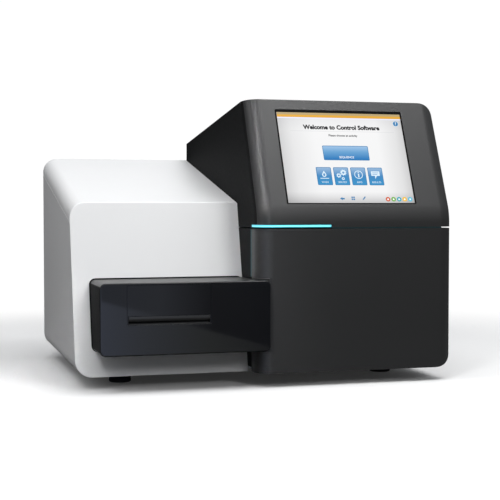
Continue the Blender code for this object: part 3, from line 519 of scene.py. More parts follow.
# ---------------------------------------------------------------- white optics module
def build_white_covers():
    """Fascia with the bay's opening, top cover with its left bend, and left side panel."""
    lean = math.degrees(math.atan(FASCIA_LEAN))
    length = (FASCIA_TOP - WHITE_BOTTOM) * SLOPE
    right = FASCIA_HIGH.x
    outline = rounded([(LEFT, 0, FASCIA_RADIUS), (right, 0), (right, length),
                       (LEFT, length, FASCIA_RADIUS)], steps=20)
    opening = rectangle(-290, (76 - WHITE_BOTTOM) * SLOPE, -60, (186 - WHITE_BOTTOM) * SLOPE, 8)
    fascia = prism("fascia_plate", outline, "Y", 0, FASCIA_THICK, [opening],
                   leaning(FASCIA_FOOT_Y, WHITE_BOTTOM, lean))
    dress(fascia, "chassis", "white_cover", ["optics_fascia"], edge=(1.4, 4))

    roof = math.atan(WHITE_TOP_SLOPE)
    along = Vector((0, math.cos(roof), math.sin(roof)))
    square = Vector((0, -math.sin(roof), math.cos(roof)))
    corner = Vector((0, fascia_y(FASCIA_TOP), FASCIA_TOP))
    inset = (FASCIA_THICK + SEAM_GAP) * SLOPE

    def roof_point(x, height, at_front):
        """Point of the top cover's section where it meets the fascia or the back plane."""
        base = corner + square * height
        if at_front:
            reach = (FASCIA_FOOT_Y + FASCIA_LEAN * (base.z - WHITE_BOTTOM) + inset - base.y)
            reach /= along.y - FASCIA_LEAN * along.z
        else:
            reach = (BACK - base.y) / along.y
        point = base + along * reach
        return (x, point.y, point.z)

    bend = rounded([(LEFT, -SEAM_DROP), (LEFT, 0, WHITE_RADIUS), (right, 0)], closed=False,
                   steps=24)
    inner = offset_path(bend, SHEET)
    ring = bend + inner[::-1]
    rows = [[roof_point(x, height, True) for x, height in ring],
            [roof_point(x, height, False) for x, height in ring]]
    cover = loft("top_cover", rows)
    dress(cover, "chassis", "white_cover", ["optics_top_cover"], edge=(0.9, 3))

    seam = SEAM_DROP / math.cos(roof) + SEAM_GAP
    top_mark = 200.0        # stands for the panel's top edge, which follows the roof
    bend = rounded([(-312, WHITE_BOTTOM), (LEFT, WHITE_BOTTOM, WHITE_RADIUS), (LEFT, top_mark)],
                   closed=False, steps=24)
    ring = bend + offset_path(bend, SHEET)[::-1]
    inset /= SLOPE

    def side_point(x, z, at_front):
        if z > top_mark - 1:
            y = (white_top_z(0) - seam - WHITE_BOTTOM) * FASCIA_LEAN + fascia_y(WHITE_BOTTOM, inset)
            y /= 1 - FASCIA_LEAN * WHITE_TOP_SLOPE
            y = y if at_front else BACK
            return (x, y, white_top_z(y) - seam)
        return (x, fascia_y(z, inset) if at_front else BACK, z)

    rows = [[side_point(x, z, True) for x, z in ring], [side_point(x, z, False) for x, z in ring]]
    panel = loft("side_cover_left", rows)
    dress(panel, "chassis", "grey_panel", ["optics_side_panel"], edge=(0.9, 3))


# ---------------------------------------------------------------- visor
def second_look(thing, look, front):
    """Another finish on the faces behind a plane."""
    thing.data.materials.append(LOOK[look])
    for face in thing.data.polygons:
        if face.center.y > front * MM:
            face.material_index = 1


def build_visor():
    """Visor cover, its grip panel with the finger recess, and the lip in the recess."""
    front = VISOR_LOW.y
    chamfer = 2.2

    def outline(inset):
        return rectangle(VISOR_LOW.x + inset, VISOR_LOW.z + inset, VISOR_HIGH.x - inset,
                         VISOR_HIGH.z - inset, VISOR_RADIUS - inset, steps=12)

    rows = []
    for step in range(7):
        angle = math.pi / 2 * step / 6
        inset = chamfer * (1 - math.sin(angle))
        y = front + chamfer * (1 - math.cos(angle))
        rows.append([(x, y, z) for x, z in outline(inset)])
    rows.append([(x, -150, z) for x, z in outline(0)])
    shell = loft("visor_cover", rows)
    inside = rectangle(VISOR_LOW.x + WALL, VISOR_LOW.z + WALL, VISOR_HIGH.x - WALL,
                       VISOR_HIGH.z - WALL, VISOR_RADIUS - WALL, steps=8)
    combine(shell, prism("hollow", inside, "Y", front + WALL, -140))
    behind = [(fascia_y(40, -3.2), 40), (-100, 40), (-100, 240), (fascia_y(240, -3.2), 240)]
    combine(shell, prism("behind", behind, "X", -400, 100))
    combine(shell, block("clear", (SPLIT_X - 1.3, -274, 0), (100, 0, 300)))
    grip_low, grip_high = span("visor_grip")
    combine(shell, block("window", (grip_low.x - 0.3, front - 5, grip_low.z - 0.3),
                         (grip_high.x + 0.3, front + WALL + 0.5, grip_high.z + 0.3)))
    dress(shell, "visor", "visor_black", ["visor_shell"], edge=(0.35,))
    second_look(shell, "visor_wall", front + 1.6)
    # painted shade on the visor's faces that look to the left
    shade_left_faces(shell)

    lip = grip_low.z
    back = grip_high.y
    edge_z, glass_top = 133.9, grip_high.z      # edge_z is where the finger recess ends
    profile = [(front, lip), (back, lip), (back, 149.5), (front + 2.5, 149.5),
               (front + 2.5, glass_top), (front, glass_top)]
    grip = prism("visor_grip_panel", profile, "X", grip_low.x, grip_high.x)
    scoop = rounded([(front - 5, lip + 1.5), (front + 3, lip + 1.5), (back - 1.5, lip + 6, 5),
                     (back - 1.5, 148), (front + 2.5, 148), (front + 2.5, edge_z),
                     (front - 5, edge_z)])
    combine(grip, prism("scoop", scoop, "X", grip_low.x + 1.8, grip_high.x - 1.8))
    dress(grip, "visor", "visor_black", ["visor_grip"], edge=(0.5,))
    # painted light on the faces inside the finger recess
    second_look(grip, "grip_painted_light", front + 0.7)
    roll = rounded([(front + 0.5, edge_z - 0.1), (front + 0.5, lip + 5.2, 6.5),
                    (front + 9.0, lip + 5.2), (front + 9.0, edge_z - 0.1)])
    roll = prism("visor_grip_lip", roll, "X", grip_low.x + 2.4, grip_high.x - 2.4)
    # painted light: the lip takes the lighter colour of the recess's inside
    dress(roll, "visor", "visor_black", look="grip_painted_light", edge=(0.3,))


# ---------------------------------------------------------------- dark reagent module
def plan_line(front, back, inset=0.0, steps=16):
    """Plan of the dark module with its two rounded front corners, moved inward by inset."""
    return rounded([(SPLIT_X + inset, back), (SPLIT_X + inset, front, PLAN_RADIUS - inset),
                    (RIGHT - inset, front, EDGE_RADIUS - inset), (RIGHT - inset, back)],
                   steps=steps)


def plan_ring(z, inset, back):
    return [(x, y, z) for x, y in plan_line(dark_front_y(z) + inset, back, inset)]


def shell_block(name, low, inset, back):
    lean = math.atan(SCREEN_LEAN)
    arc_low = SCREEN_FOOT_Z - BROW_RADIUS * math.tan(lean / 2)
    arc = [arc_low + BROW_RADIUS * math.sin(lean * step / 14) for step in range(15)]
    solid = loft(name, [plan_ring(z, inset, back) for z in (low, *arc, DARK_TOP + 40)])
    roof = math.degrees(math.atan(DARK_TOP_SLOPE))
    outline = rounded([(SPLIT_X - 20, -400), (RIGHT - inset, -400),
                       (RIGHT - inset, -inset, DARK_RADIUS - inset), (SPLIT_X - 20, -inset)],
                      steps=20)
    peak = dark_front_y(DARK_TOP)
    trim = prism(name + "_roof", outline, "Y", -200, 600,
                 frame_matrix=leaning(peak, DARK_TOP, -roof))
    return combine(solid, trim, "INTERSECT")


SCREEN_LEFT = 26.0
SCREEN_RIGHT = 268.0
SCREEN_LOW_Z = 325.9
SCREEN_HIGH_Z = 495.9
RIM_LEFT = 2.9              # black rim round the page, widest at its top
RIM_RIGHT = 2.2
RIM_LOW = 2.0
SCREEN_HEIGHT = (SCREEN_HIGH_Z - SCREEN_LOW_Z) * math.hypot(1, SCREEN_LEAN)
PAGE_HEIGHT = SCREEN_HEIGHT - 4.6
SCREEN_WIDTH = SCREEN_RIGHT - SCREEN_LEFT
ASPECT = SCREEN_WIDTH / PAGE_HEIGHT
RIM_TOP = SCREEN_HEIGHT + 0.2
SCREEN_FRAME = leaning(dark_front_y(SCREEN_LOW_Z), SCREEN_LOW_Z,
                       math.degrees(math.atan(SCREEN_LEAN)))


def light_path(inset, right):
    """Plan line of the light bar: along the left side, round the corner, along the front."""
    corners = [(SPLIT_X + inset, BAR_BACK),
               (SPLIT_X + inset, DOOR_FRONT + inset, PLAN_RADIUS - inset),
               (right, DOOR_FRONT + inset)]
    return rounded(corners, closed=False, steps=20)


def build_dark_shell():
    """Upper shell with the screen's window and the light bar's slot, and the light bar."""
    shell = shell_block("dark_shell", SHELL_LOW.z, 0.0, BACK)
    combine(shell, shell_block("hollow", SHELL_LOW.z - 20, WALL, BACK + 20))
    window = rectangle(SCREEN_LEFT - RIM_LEFT - SEAM_GAP, -RIM_LOW - SEAM_GAP,
                       SCREEN_RIGHT + RIM_RIGHT + SEAM_GAP, RIM_TOP + SEAM_GAP, 2)
    combine(shell, prism("window", window, "Y", -20, 20, frame_matrix=SCREEN_FRAME))
    bar_low, bar_high = span("status_light_bar")
    outer = rounded([(SPLIT_X - 5, SLOT_BACK), (SPLIT_X - 5, DOOR_FRONT - 5, 35),
                     (SLOT_RIGHT, DOOR_FRONT - 5)], closed=False, steps=20)
    inner = list(reversed(light_path(WALL + 0.2, SLOT_RIGHT)))
    inner[-1] = (inner[-1][0], SLOT_BACK)
    combine(shell, prism("slot", outer + inner, "Z", SHELL_LOW.z - 5, bar_high.z + SEAM_GAP))
    dress(shell, "chassis", "dark_cover", ["upper_shell"], edge=(1.0, 3))
    # painted shade on the shell's faces that look to the left
    shade_left_faces(shell)

    bar = light_path(0.0, BAR_RIGHT) + list(reversed(light_path(WALL, BAR_RIGHT)))
    bar = prism("light_bar", bar, "Z", bar_low.z, bar_high.z)
    dress(bar, "chassis", "status_light", ["status_light_bar"], edge=(0.6, 3))
    tree = LOOK["status_light"].node_tree
    teal, core = (0.0, 0.20, 0.27), (0.62, 0.88, 0.90)
    lit = ramp_along(tree, "Z", bar_low.z * MM, bar_high.z * MM,
                     [(0.0, teal), (0.28, (0.02, 0.42, 0.50)), (0.5, core),
                      (0.72, (0.02, 0.42, 0.50)), (1.0, teal)])
    set_inputs(tree.nodes["Principled BSDF"], {"Emission Color": lit})


def build_door():
    """Front door, hollow behind, with a notch for the visor's end, and the right side panel."""
    door = prism("door_cover", plan_line(DOOR_FRONT, DOOR_HIGH.y), "Z", DOOR_LOW.z, DOOR_HIGH.z)
    face = rounded([(SPLIT_X - 9, DOOR_LOW.z - 1), (SPLIT_X - 9, 300), (RIGHT, 300),
                    (RIGHT, DOOR_LOW.z, DARK_RADIUS), (RIGHT - 60, DOOR_LOW.z),
                    (RIGHT - 60, DOOR_LOW.z - 1)], steps=20)
    combine(door, prism("face", face, "Y", -300, -200), "INTERSECT")
    hollow = prism("hollow", plan_line(DOOR_FRONT + WALL, -150, WALL, 12), "Z",
                   DOOR_LOW.z + WALL, DOOR_HIGH.z - WALL)
    inner_face = rounded([(SPLIT_X, DOOR_LOW.z), (SPLIT_X, 290), (RIGHT - WALL, 290),
                          (RIGHT - WALL, DOOR_LOW.z + WALL, DARK_RADIUS - WALL),
                          (RIGHT - 60, DOOR_LOW.z + WALL), (RIGHT - 60, DOOR_LOW.z)], steps=12)
    combine(hollow, prism("hollow_face", inner_face, "Y", -300, -100), "INTERSECT")
    combine(door, hollow)
    combine(door, block("side_gap", (RIGHT - 40, -230, 0), (RIGHT + 10, -200, 300)))
    combine(door, block("notch", (-60, -300, VISOR_LOW.z - 3), (-10, -200, VISOR_HIGH.z + 3)))
    dress(door, "door", "dark_cover", ["reagent_door"], edge=(1.0, 3))

    side_low, side_high = span("right_side_panel")
    bend = rounded([(RIGHT, side_high.z), (RIGHT, side_low.z, DARK_RADIUS),
                    (FLANGE_LEFT, side_low.z)], closed=False, steps=20)
    ring = bend + offset_path(bend, SHEET)[::-1]
    rows = [[(x, side_low.y, z) for x, z in ring], [(x, BACK, z) for x, z in ring]]
    side = loft("side_cover_right", rows)
    dress(side, "chassis", "dark_cover", ["right_side_panel"], edge=(0.7, 3))


# ---------------------------------------------------------------- screen
def page_z(v):
    """Height in metres of a share of the page, measured from its top edge."""
    return (SCREEN_LOW_Z + (1 - v) * PAGE_HEIGHT / math.hypot(1, SCREEN_LEAN)) * MM


def ramp_along(tree, axis, low, high, stops):
    """Colours at shares of the way from low to high (metres) along a world axis."""
    ramp = add_node(tree, "ShaderNodeValToRGB",
                    {"Fac": add_range(tree, split_axes(tree)[axis], low, high)})
    elements = ramp.color_ramp.elements
    while len(elements) < len(stops):
        elements.new(0.5)
    for element, (position, colour) in zip(elements, stops):
        element.position = position
        element.color = (*colour, 1)
    return ramp.outputs["Color"]


def glow(name, colour, upward=None, across=None):
    """Lit display area: one colour, or colours graded upward and shaded across."""
    material, tree = new_material(name)
    shader = tree.nodes["Principled BSDF"]
    set_inputs(shader, {"Base Color": (0.01, 0.01, 0.01, 1), "Roughness": 0.12,
                        "Specular IOR Level": 0.1, "Emission Strength": 1.09,
                        "Emission Color": (*colour, 1)})
    if upward:
        low, high, stops = upward
        graded = ramp_along(tree, "Z", page_z(low), page_z(high), stops)
        if across:
            shade = ramp_along(tree, "X", SCREEN_LEFT * MM, SCREEN_RIGHT * MM, across)
            graded = add_node(tree, "ShaderNodeMixRGB", {"Fac": 1.0, "Color1": graded,
                                                         "Color2": shade},
                              blend_type="MULTIPLY").outputs["Color"]
        set_inputs(shader, {"Emission Color": graded})
    return material


def light_up(piece, material):
    """Display material on a piece of the screen."""
    piece.data.materials.append(material)
    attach(piece, "chassis")
    return piece


def screen_piece(name, outline, depth, material, holes=(), thick=0.05):
    """Thin lit shape in the display: outline in shares of the screen's width and height."""
    def to_plane(loop):
        return [(SCREEN_LEFT + u * SCREEN_WIDTH, (1 - v) * PAGE_HEIGHT) for u, v in loop]

    return light_up(prism(name, to_plane(outline), "Y", depth - thick, depth,
                          [to_plane(hole) for hole in holes], SCREEN_FRAME), material)


def screen_text(name, words, u, v, size, depth, material, bold=0.0):
    """Line of plain lettering centred at a place on the screen."""
    curve = bpy.data.curves.new(name, "FONT")
    curve.body = words
    curve.size = size * MM
    curve.align_x = "CENTER"
    curve.align_y = "CENTER"
    curve.extrude = 0.02 * MM
    curve.offset = bold * MM
    curve.resolution_u = 3
    place = Vector((SCREEN_LEFT + u * SCREEN_WIDTH, depth, (1 - v) * PAGE_HEIGHT)) * MM
    place = SCREEN_FRAME @ Matrix.Translation(place) @ PLANES["Y"]
    return light_up(from_curve(name, curve, place, 0.000001), material)


def box_share(u0, v0, u1, v1, radius=0.0):
    """Rounded rectangle in screen shares; the radius is a share of the width."""
    loop = rectangle(u0 * ASPECT, v0, u1 * ASPECT, v1, radius * ASPECT, 4)
    return [(u / ASPECT, v) for u, v in loop]


def round_share(u, v, radius, steps=28):
    return [(a / ASPECT, b) for a, b in circle(u * ASPECT, v, radius * ASPECT, steps)]


def gear_share(u, v, radius, teeth):
    """Outline of a toothed wheel in screen shares."""
    points = []
    for step in range(teeth * 4):
        reach = radius * (1.0 if step % 4 in (1, 2) else 0.78)
        angle = 2 * math.pi * step / (teeth * 4)
        points.append((u + reach * math.cos(angle), v + reach * ASPECT * math.sin(angle)))
    return points


def drop_share(u, v, radius):
    """Outline of a droplet in screen shares, its point up."""
    points = [(u, v - 2.0 * radius * ASPECT)]
    for step in range(19):
        angle = math.radians(-28 + 236 * step / 18)
        points.append((u + radius * math.cos(angle), v + radius * ASPECT * math.sin(angle)))
    return points


def build_tile(index, left, rim, face, pale):
    """Button of the lower row, with a mark and a caption."""
    middle = left + 0.0595
    screen_piece("screen_tile_rim_%d" % index,
                 box_share(left, 0.610, left + 0.119, 0.806, 0.008), 0.96, rim)
    screen_piece("screen_tile_%d" % index,
                 box_share(left + 0.005, 0.617, left + 0.114, 0.799, 0.006), 0.90, face)
    if index == 0:
        marks = [(drop_share(middle, 0.694, 0.017), [drop_share(middle, 0.694, 0.009)]),
                 (box_share(middle - 0.034, 0.728, middle + 0.034, 0.736), [])]
    elif index == 1:
        marks = [(gear_share(middle + 0.017, 0.668, 0.025, 9),
                  [round_share(middle + 0.017, 0.668, 0.009)]),
                 (gear_share(middle - 0.022, 0.700, 0.019, 8),
                  [round_share(middle - 0.022, 0.700, 0.007)]),
                 (gear_share(middle + 0.010, 0.734, 0.013, 7),
                  [round_share(middle + 0.010, 0.734, 0.005)])]
    elif index == 2:
        marks = [(round_share(middle, 0.690, 0.034), [round_share(middle, 0.690, 0.0285)]),
                 (round_share(middle, 0.664, 0.005, 16), []),
                 (box_share(middle - 0.005, 0.680, middle + 0.005, 0.720), [])]
    else:
        bubble = [(middle - 0.034, 0.652), (middle + 0.034, 0.652), (middle + 0.034, 0.702),
                  (middle + 0.010, 0.702), (middle - 0.006, 0.736), (middle - 0.006, 0.702),
                  (middle - 0.034, 0.702)]
        marks = [(bubble, [box_share(middle - 0.024, 0.666, middle + 0.024, 0.672),
                           box_share(middle - 0.024, 0.682, middle + 0.016, 0.688)])]
    for number, (outline, holes) in enumerate(marks):
        screen_piece("screen_mark_%d_%d" % (index, number), outline, 0.84, pale, holes)
    words = ("WASH", "SERVICE", "INFO", "RESULTS")[index]
    screen_text("screen_caption_%d" % index, words, middle, 0.774, 4.6, 0.84, pale, 0.05)


def build_footer(deep, white):
    """Small tools in the middle of the footer and five coloured keys at its right."""
    arrow = [(0.405, 0.952), (0.425, 0.935), (0.425, 0.945), (0.442, 0.945), (0.442, 0.960),
             (0.425, 0.960), (0.425, 0.969)]
    screen_piece("screen_tool_back", arrow, 0.90, deep)
    for row in range(2):
        for column in range(2):
            u, v = 0.496 + 0.015 * column, 0.930 + 0.021 * row
            screen_piece("screen_tool_grid_%d%d" % (row, column),
                         box_share(u, v, u + 0.012, v + 0.016), 0.90, deep)
    pencil = [(0.583, 0.968), (0.586, 0.955), (0.604, 0.927), (0.611, 0.934), (0.593, 0.962)]
    screen_piece("screen_tool_pencil", pencil, 0.90, deep)
    colours = {"red": (0.62, 0.10, 0.03), "green": (0.16, 0.42, 0.05), "teal": (0.02, 0.36, 0.45),
               "amber": (0.85, 0.50, 0.03), "cyan": (0.10, 0.50, 0.68)}
    for index, (name, colour) in enumerate(colours.items()):
        u = 0.787 + 0.0448 * index
        screen_piece("screen_key_" + name, round_share(u, 0.958, 0.0185), 0.90,
                     glow("screen_" + name, colour))
        roof = [(u - 0.009, 0.958), (u, 0.946), (u + 0.009, 0.958), (u + 0.006, 0.958),
                (u + 0.006, 0.968), (u - 0.006, 0.968), (u - 0.006, 0.958)]
        screen_piece("screen_key_mark_" + name, roof, 0.84, white)


def build_screen():
    outer = rectangle(SCREEN_LEFT - RIM_LEFT, -RIM_LOW, SCREEN_RIGHT + RIM_RIGHT, RIM_TOP, 2)
    inner = rectangle(SCREEN_LEFT, 0, SCREEN_RIGHT, PAGE_HEIGHT)
    rim = prism("screen_rim", outer, "Y", 0.3, 2.8, [inner], SCREEN_FRAME)
    dress(rim, "chassis", "black_trim", ["screen_gasket"], "rim_black", edge=(0.4,))

    page = glow("screen_page", (0.8, 0.8, 0.8),
                (1.0, 0.0, [(0.0, (0.52, 0.52, 0.525)), (0.07, (0.72, 0.72, 0.725)),
                            (0.12, (0.83, 0.83, 0.835)), (0.80, (0.84, 0.84, 0.845)),
                            (0.95, (0.74, 0.74, 0.75))]),
                [(0.0, (0.70,) * 3), (0.10, (0.88,) * 3), (0.28, (1.0,) * 3), (0.78, (1.0,) * 3),
                 (0.93, (0.84,) * 3), (1.0, (0.68,) * 3)])
    glass = rectangle(SCREEN_LEFT + 0.3, 0.3, SCREEN_RIGHT - 0.3, PAGE_HEIGHT - 0.3)
    panel = prism("display_glass", glass, "Y", 1.0, 3.0, frame_matrix=SCREEN_FRAME)
    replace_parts(light_up(panel, page), "touch_screen")

    orange = glow("screen_orange", (0.72, 0.36, 0.02))
    sand = glow("screen_sand", (0.45, 0.33, 0.15))
    lilac = glow("screen_lilac", (0.76, 0.79, 0.95))
    ink = glow("screen_ink", (0.008, 0.008, 0.010))
    grey = glow("screen_grey", (0.58, 0.59, 0.61))
    deep = glow("screen_deep", (0.04, 0.20, 0.42))
    pale = glow("screen_pale", (0.68, 0.82, 0.92))
    white = glow("screen_white", (0.93, 0.95, 0.97))
    button = glow("screen_button_blue", (0.1, 0.3, 0.6),
                  (0.524, 0.372, [(0.0, (0.012, 0.17, 0.46)), (0.55, (0.13, 0.34, 0.60)),
                                  (1.0, (0.34, 0.53, 0.76))]))
    tile = glow("screen_tile_blue", (0.1, 0.3, 0.6),
                (0.802, 0.614, [(0.0, (0.035, 0.27, 0.54)), (0.5, (0.05, 0.23, 0.50)),
                                (1.0, (0.30, 0.46, 0.66))]))

    screen_piece("screen_band_top", box_share(0.0015, 0.002, 0.9985, 0.027), 0.96, sand)
    screen_piece("screen_bar", box_share(0.0015, 0.027, 0.9985, 0.055), 0.96, orange)
    screen_piece("screen_bar_edge", box_share(0.0015, 0.055, 0.9985, 0.068), 0.96, lilac)
    screen_piece("screen_rule", box_share(0.09, 0.208, 0.93, 0.2105), 0.96, grey)
    screen_text("screen_title", "Welcome to Control Software", 0.505, 0.166, 11.8, 0.9, ink, 0.58)
    screen_text("screen_subtitle", "Please choose an activity", 0.505, 0.256, 5.6, 0.9, ink, 0.16)
    screen_piece("screen_button_rim", box_share(0.325, 0.370, 0.692, 0.532, 0.008), 0.96, deep)
    screen_piece("screen_button", box_share(0.330, 0.377, 0.687, 0.524, 0.006), 0.90, button)
    screen_text("screen_button_word", "SEQUENCE", 0.508, 0.499, 5.8, 0.82, white, 0.06)
    for index in range(4):
        build_tile(index, 0.249 + 0.1365 * index, deep, tile, pale)
    screen_piece("screen_help_rim", round_share(0.953, 0.110, 0.0235), 0.96, pale)
    screen_piece("screen_help", round_share(0.953, 0.110, 0.021), 0.92, deep)
    screen_text("screen_help_mark", "?", 0.953, 0.110, 8.5, 0.86, white, 0.12)
    build_footer(deep, white)


# ---------------------------------------------------------------- seams
def build_seams():
    """Glowing strips that paint the bar's light spilling into the seams beside and below it, and a
    black ring that paints the shadowed gap round the visor.
    """
    side_low = span("partition_wall")[0]
    # painted light: glowing strip in the seam beside the bar
    strip = block("seam_glow_left", (SPLIT_X - 0.25, side_low.y + 0.2, VISOR_HIGH.z + 4),
                  (SPLIT_X + 0.6, side_low.y + 2.4, DOOR_HIGH.z - 0.4))
    dress(strip, "chassis", "status_light", look="dim_light", edge=(0.1, 1))
    line = rectangle(BAR_RIGHT + 2, DOOR_FRONT + 1.2, RIGHT - 26, DOOR_FRONT + 2.8, 0.6)
    # painted light: glowing strip in the seam below the bar
    seal = prism("seam_glow_front", line, "Z", SHELL_LOW.z - 2.2, SHELL_LOW.z + 0.8)
    dress(seal, "chassis", "status_light", look="faint_light", edge=(0.2,))

    def ring(inset, radius):
        return rectangle(VISOR_LOW.x + inset, (VISOR_LOW.z + inset - WHITE_BOTTOM) * SLOPE,
                         SPLIT_X - 0.6 - max(inset, 0.0),
                         (VISOR_HIGH.z - inset - WHITE_BOTTOM) * SLOPE,
                         radius)

    # painted shade: black ring standing in for the shadowed gap between the visor and the fascia
    seal = prism("visor_gap_shadow", ring(-1.5, 11), "Y", -2.9, -0.05, [ring(5.5, 4)],
                 leaning(FASCIA_FOOT_Y, WHITE_BOTTOM, math.degrees(math.atan(FASCIA_LEAN))))
    dress(seal, "chassis", "black_trim", look="gap_shadow_black", edge=(0.2,))


# ---------------------------------------------------------------- base and rear
def build_feet():
    for node in ("foot_front_left", "foot_front_right", "foot_rear_left", "foot_rear_right"):
        low, high = span(node)
        x, y = (low.x + high.x) / 2, (low.y + high.y) / 2
        radius, top = (high.x - low.x) / 2, high.z
        profile = [(0, 3.0), (4.5, 3.0), (5.0, 0.8), (radius - 5.5, 0.8), (radius - 5.0, 0.0),
                   (radius - 1.6, 0.0), (radius - 0.3, 1.2), (radius, 3.0)]
        for z in (6.0, 10.2, 14.4):
            profile += [(radius, z), (radius - 0.9, z + 0.5), (radius - 0.9, z + 1.3),
                        (radius, z + 1.8)]
        profile += [(radius, top - 6.0), (radius - 2.2, top - 4.2), (radius - 2.8, top), (0, top)]
        dress(turned(node + "_rubber", profile, (x, y, 0), steps=64), "chassis", "rubber_foot",
              [node])
        screws(node + "_screw", [(x, y, 3.0)], "Z", "chassis", 3.4, -0.7)


def build_rear():
    back = span("rear_panel_optics")[1].y
    places = []
    for low, high in (span("rear_panel_optics"), span("rear_panel_reagent")):
        for z in (low.z + 12, (low.z + high.z) / 2 + 20, high.z - 40):
            places += [(low.x + 10, back - 0.1, z), (high.x - 10, back - 0.1, z)]
        places.append(((low.x + high.x) / 2 + 20, back - 0.1, low.z + 12))
    screws("rear_panel_screws", places, "Y", "chassis", 3.0, -1)

    low, high = span("fan_frame")
    centre = Vector(((low.x + high.x) / 2, back, (low.z + high.z) / 2))
    corner = (high.x - low.x) / 2 - 4.6
    wires = []
    for ring in range(6):
        points = [(u, back + 3.2, v) for u, v in circle(centre.x, centre.z, 6.5 + 7.3 * ring, 64)]
        wires.append(tube("ring", points, 0.8, closed=True))
    reach = corner * math.sqrt(2)
    for degrees in (45, 135, 225, 315):
        out = Vector((math.cos(math.radians(degrees)), 0, math.sin(math.radians(degrees))))
        points = [centre + out * distance + Vector((0, height, 0)) for distance, height in
                  ((4.0, 2.2), (43.5, 2.2), (reach - 7, 0.9), (reach, 0.9))]
        wires.append(tube("spoke", points, 0.85))
    dress(joined("fan_guard", wires), "chassis", "zinc_steel")
    screws("fan_screws", [(centre.x + a * corner, back + 1.7, centre.z + b * corner)
                          for a in (-1, 1) for b in (-1, 1)], "Y", "chassis", 2.8, -1)

    low, high = span("fan_rotor")
    face = high.y
    cap = turned("fan_hub_cap", [(0, face + 0.6), (11, face + 0.6), (13.5, face - 0.2),
                                 (15, face - 1.8), (15, face - 3.0), (0, face - 3.0)],
                 ((low.x + high.x) / 2, 0, (low.z + high.z) / 2), "Y_back")
    dress(cap, "fan", "black_trim")

    pins = [block("pin", (x - 1.0, 264.5, z - 2.2), (x + 1.0, 277.0, z + 2.2))
            for x, z in ((294.5, 73.0), (306.5, 73.0), (300.5, 80.0))]
    dress(joined("inlet_pins", pins), "chassis", "zinc_steel", edge=(0.4,))
    for node, count in (("network_socket", 8), ("usb_socket", 4)):
        low, high = span(node)
        width = (high.x - low.x) * 0.62
        pitch = width / count
        x = (low.x + high.x) / 2 - width / 2 + pitch / 2
        ribs(node + "_contacts", (x - pitch * 0.28, high.y - 11, high.z - 6.0),
             (x + pitch * 0.28, high.y - 4.0, high.z - 5.3), (pitch, 0, 0), count, "chassis",
             "machined_aluminium", (0.1, 1))

    low, high = span("power_switch")
    x = (low.x + high.x) / 2
    ring = turned("switch_off_mark", [(1.7, 280.6), (1.7, 280.85), (2.5, 280.85), (2.5, 280.6)],
                  (x, 0, low.z + 5.4), "Y_back", 32)
    dress(ring, "switch", "white_cover")
    bar = block("switch_on_mark", (x - 2.3, 280.5, high.z - 5.8), (x + 2.3, 280.95, high.z - 5.0))
    dress(bar, "switch", "white_cover", edge=(0.1, 1))


# ---------------------------------------------------------------- flow cell compartment
def build_flow_cell():
    """Glass flow cell with its lanes and ports, replacing the plain slide."""
    low, high = span("flow_cell_glass")
    middle = (low.x + high.x) / 2
    slide = prism("flow_cell_slide", rectangle(low.x, low.y, high.x, high.y, 1.2), "Z", low.z,
                  high.z)
    dress(slide, "flow_cell", "clear_glass", ["flow_cell_glass"], edge=(0.15,))
    lanes, ports = [], []
    for x in (middle - 6.0, middle, middle + 6.0):
        outline = [(x, low.y + 4.5), (x + 1.6, low.y + 9), (x + 1.6, high.y - 9),
                   (x, high.y - 4.5), (x - 1.6, high.y - 9), (x - 1.6, low.y + 9)]
        lanes.append(prism("lane", outline, "Z", high.z - 0.02, high.z + 0.12))
        for y in (low.y + 3.2, high.y - 3.2):
            ports.append(turned("port", [(0.6, 0), (0.6, 0.5), (1.0, 0.5), (1.15, 0.3), (1.15, 0)],
                                (x, y, high.z - 0.05), steps=20))
    dress(joined("flow_cell_lanes", lanes), "flow_cell", "clear_glass", look="lane_blue",
          edge=None)
    dress(joined("flow_cell_ports", ports), "flow_cell", "black_trim")
    low, high = span("flow_cell_carrier")
    ribs("carrier_grip", (low.x + 3, low.y + 3.0, high.z - 0.1),
         (high.x - 3, low.y + 4.2, high.z + 0.7), (0, 3, 0), 3, "flow_cell")


def build_stage_details():
    """Screws of the stage, and ribs on the flow cell's latch."""
    low, high = span("stage_base")
    screws("rail_screws", [(x, y, 81.0) for x in (low.x + 4.5, high.x - 4.5)
                           for y in (-160, -125, -75, -40)], "Z", "chassis", 2.4)
    low, high = span("stage_y_carriage")
    screws("lower_carriage_screws", [(low.x + share * (high.x - low.x), low.y, 91.0)
                                     for share in (0.25, 0.42, 0.58, 0.75)],
           "Y", "stage_y", 2.0)
    low, high = span("stage_x_carriage")
    screws("upper_carriage_screws", [(x, y, high.z) for x in (low.x + 4, high.x - 4)
                                     for y in (low.y + 9, high.y - 9)], "Z", "stage_x", 1.9)
    low, high = span("thermal_station")
    screws("station_screws", [(x, low.y + 5, high.z) for x in (low.x + 5, high.x - 5)],
           "Z", "stage_x", 1.8)
    low, high = span("flow_cell_latch")
    ribs("latch_grip", (low.x + 16, low.y + 2.2, high.z - 0.2),
         (high.x - 16, low.y + 3.2, high.z + 0.5), (0, 2.2, 0), 4, "latch", edge=(0.25,))


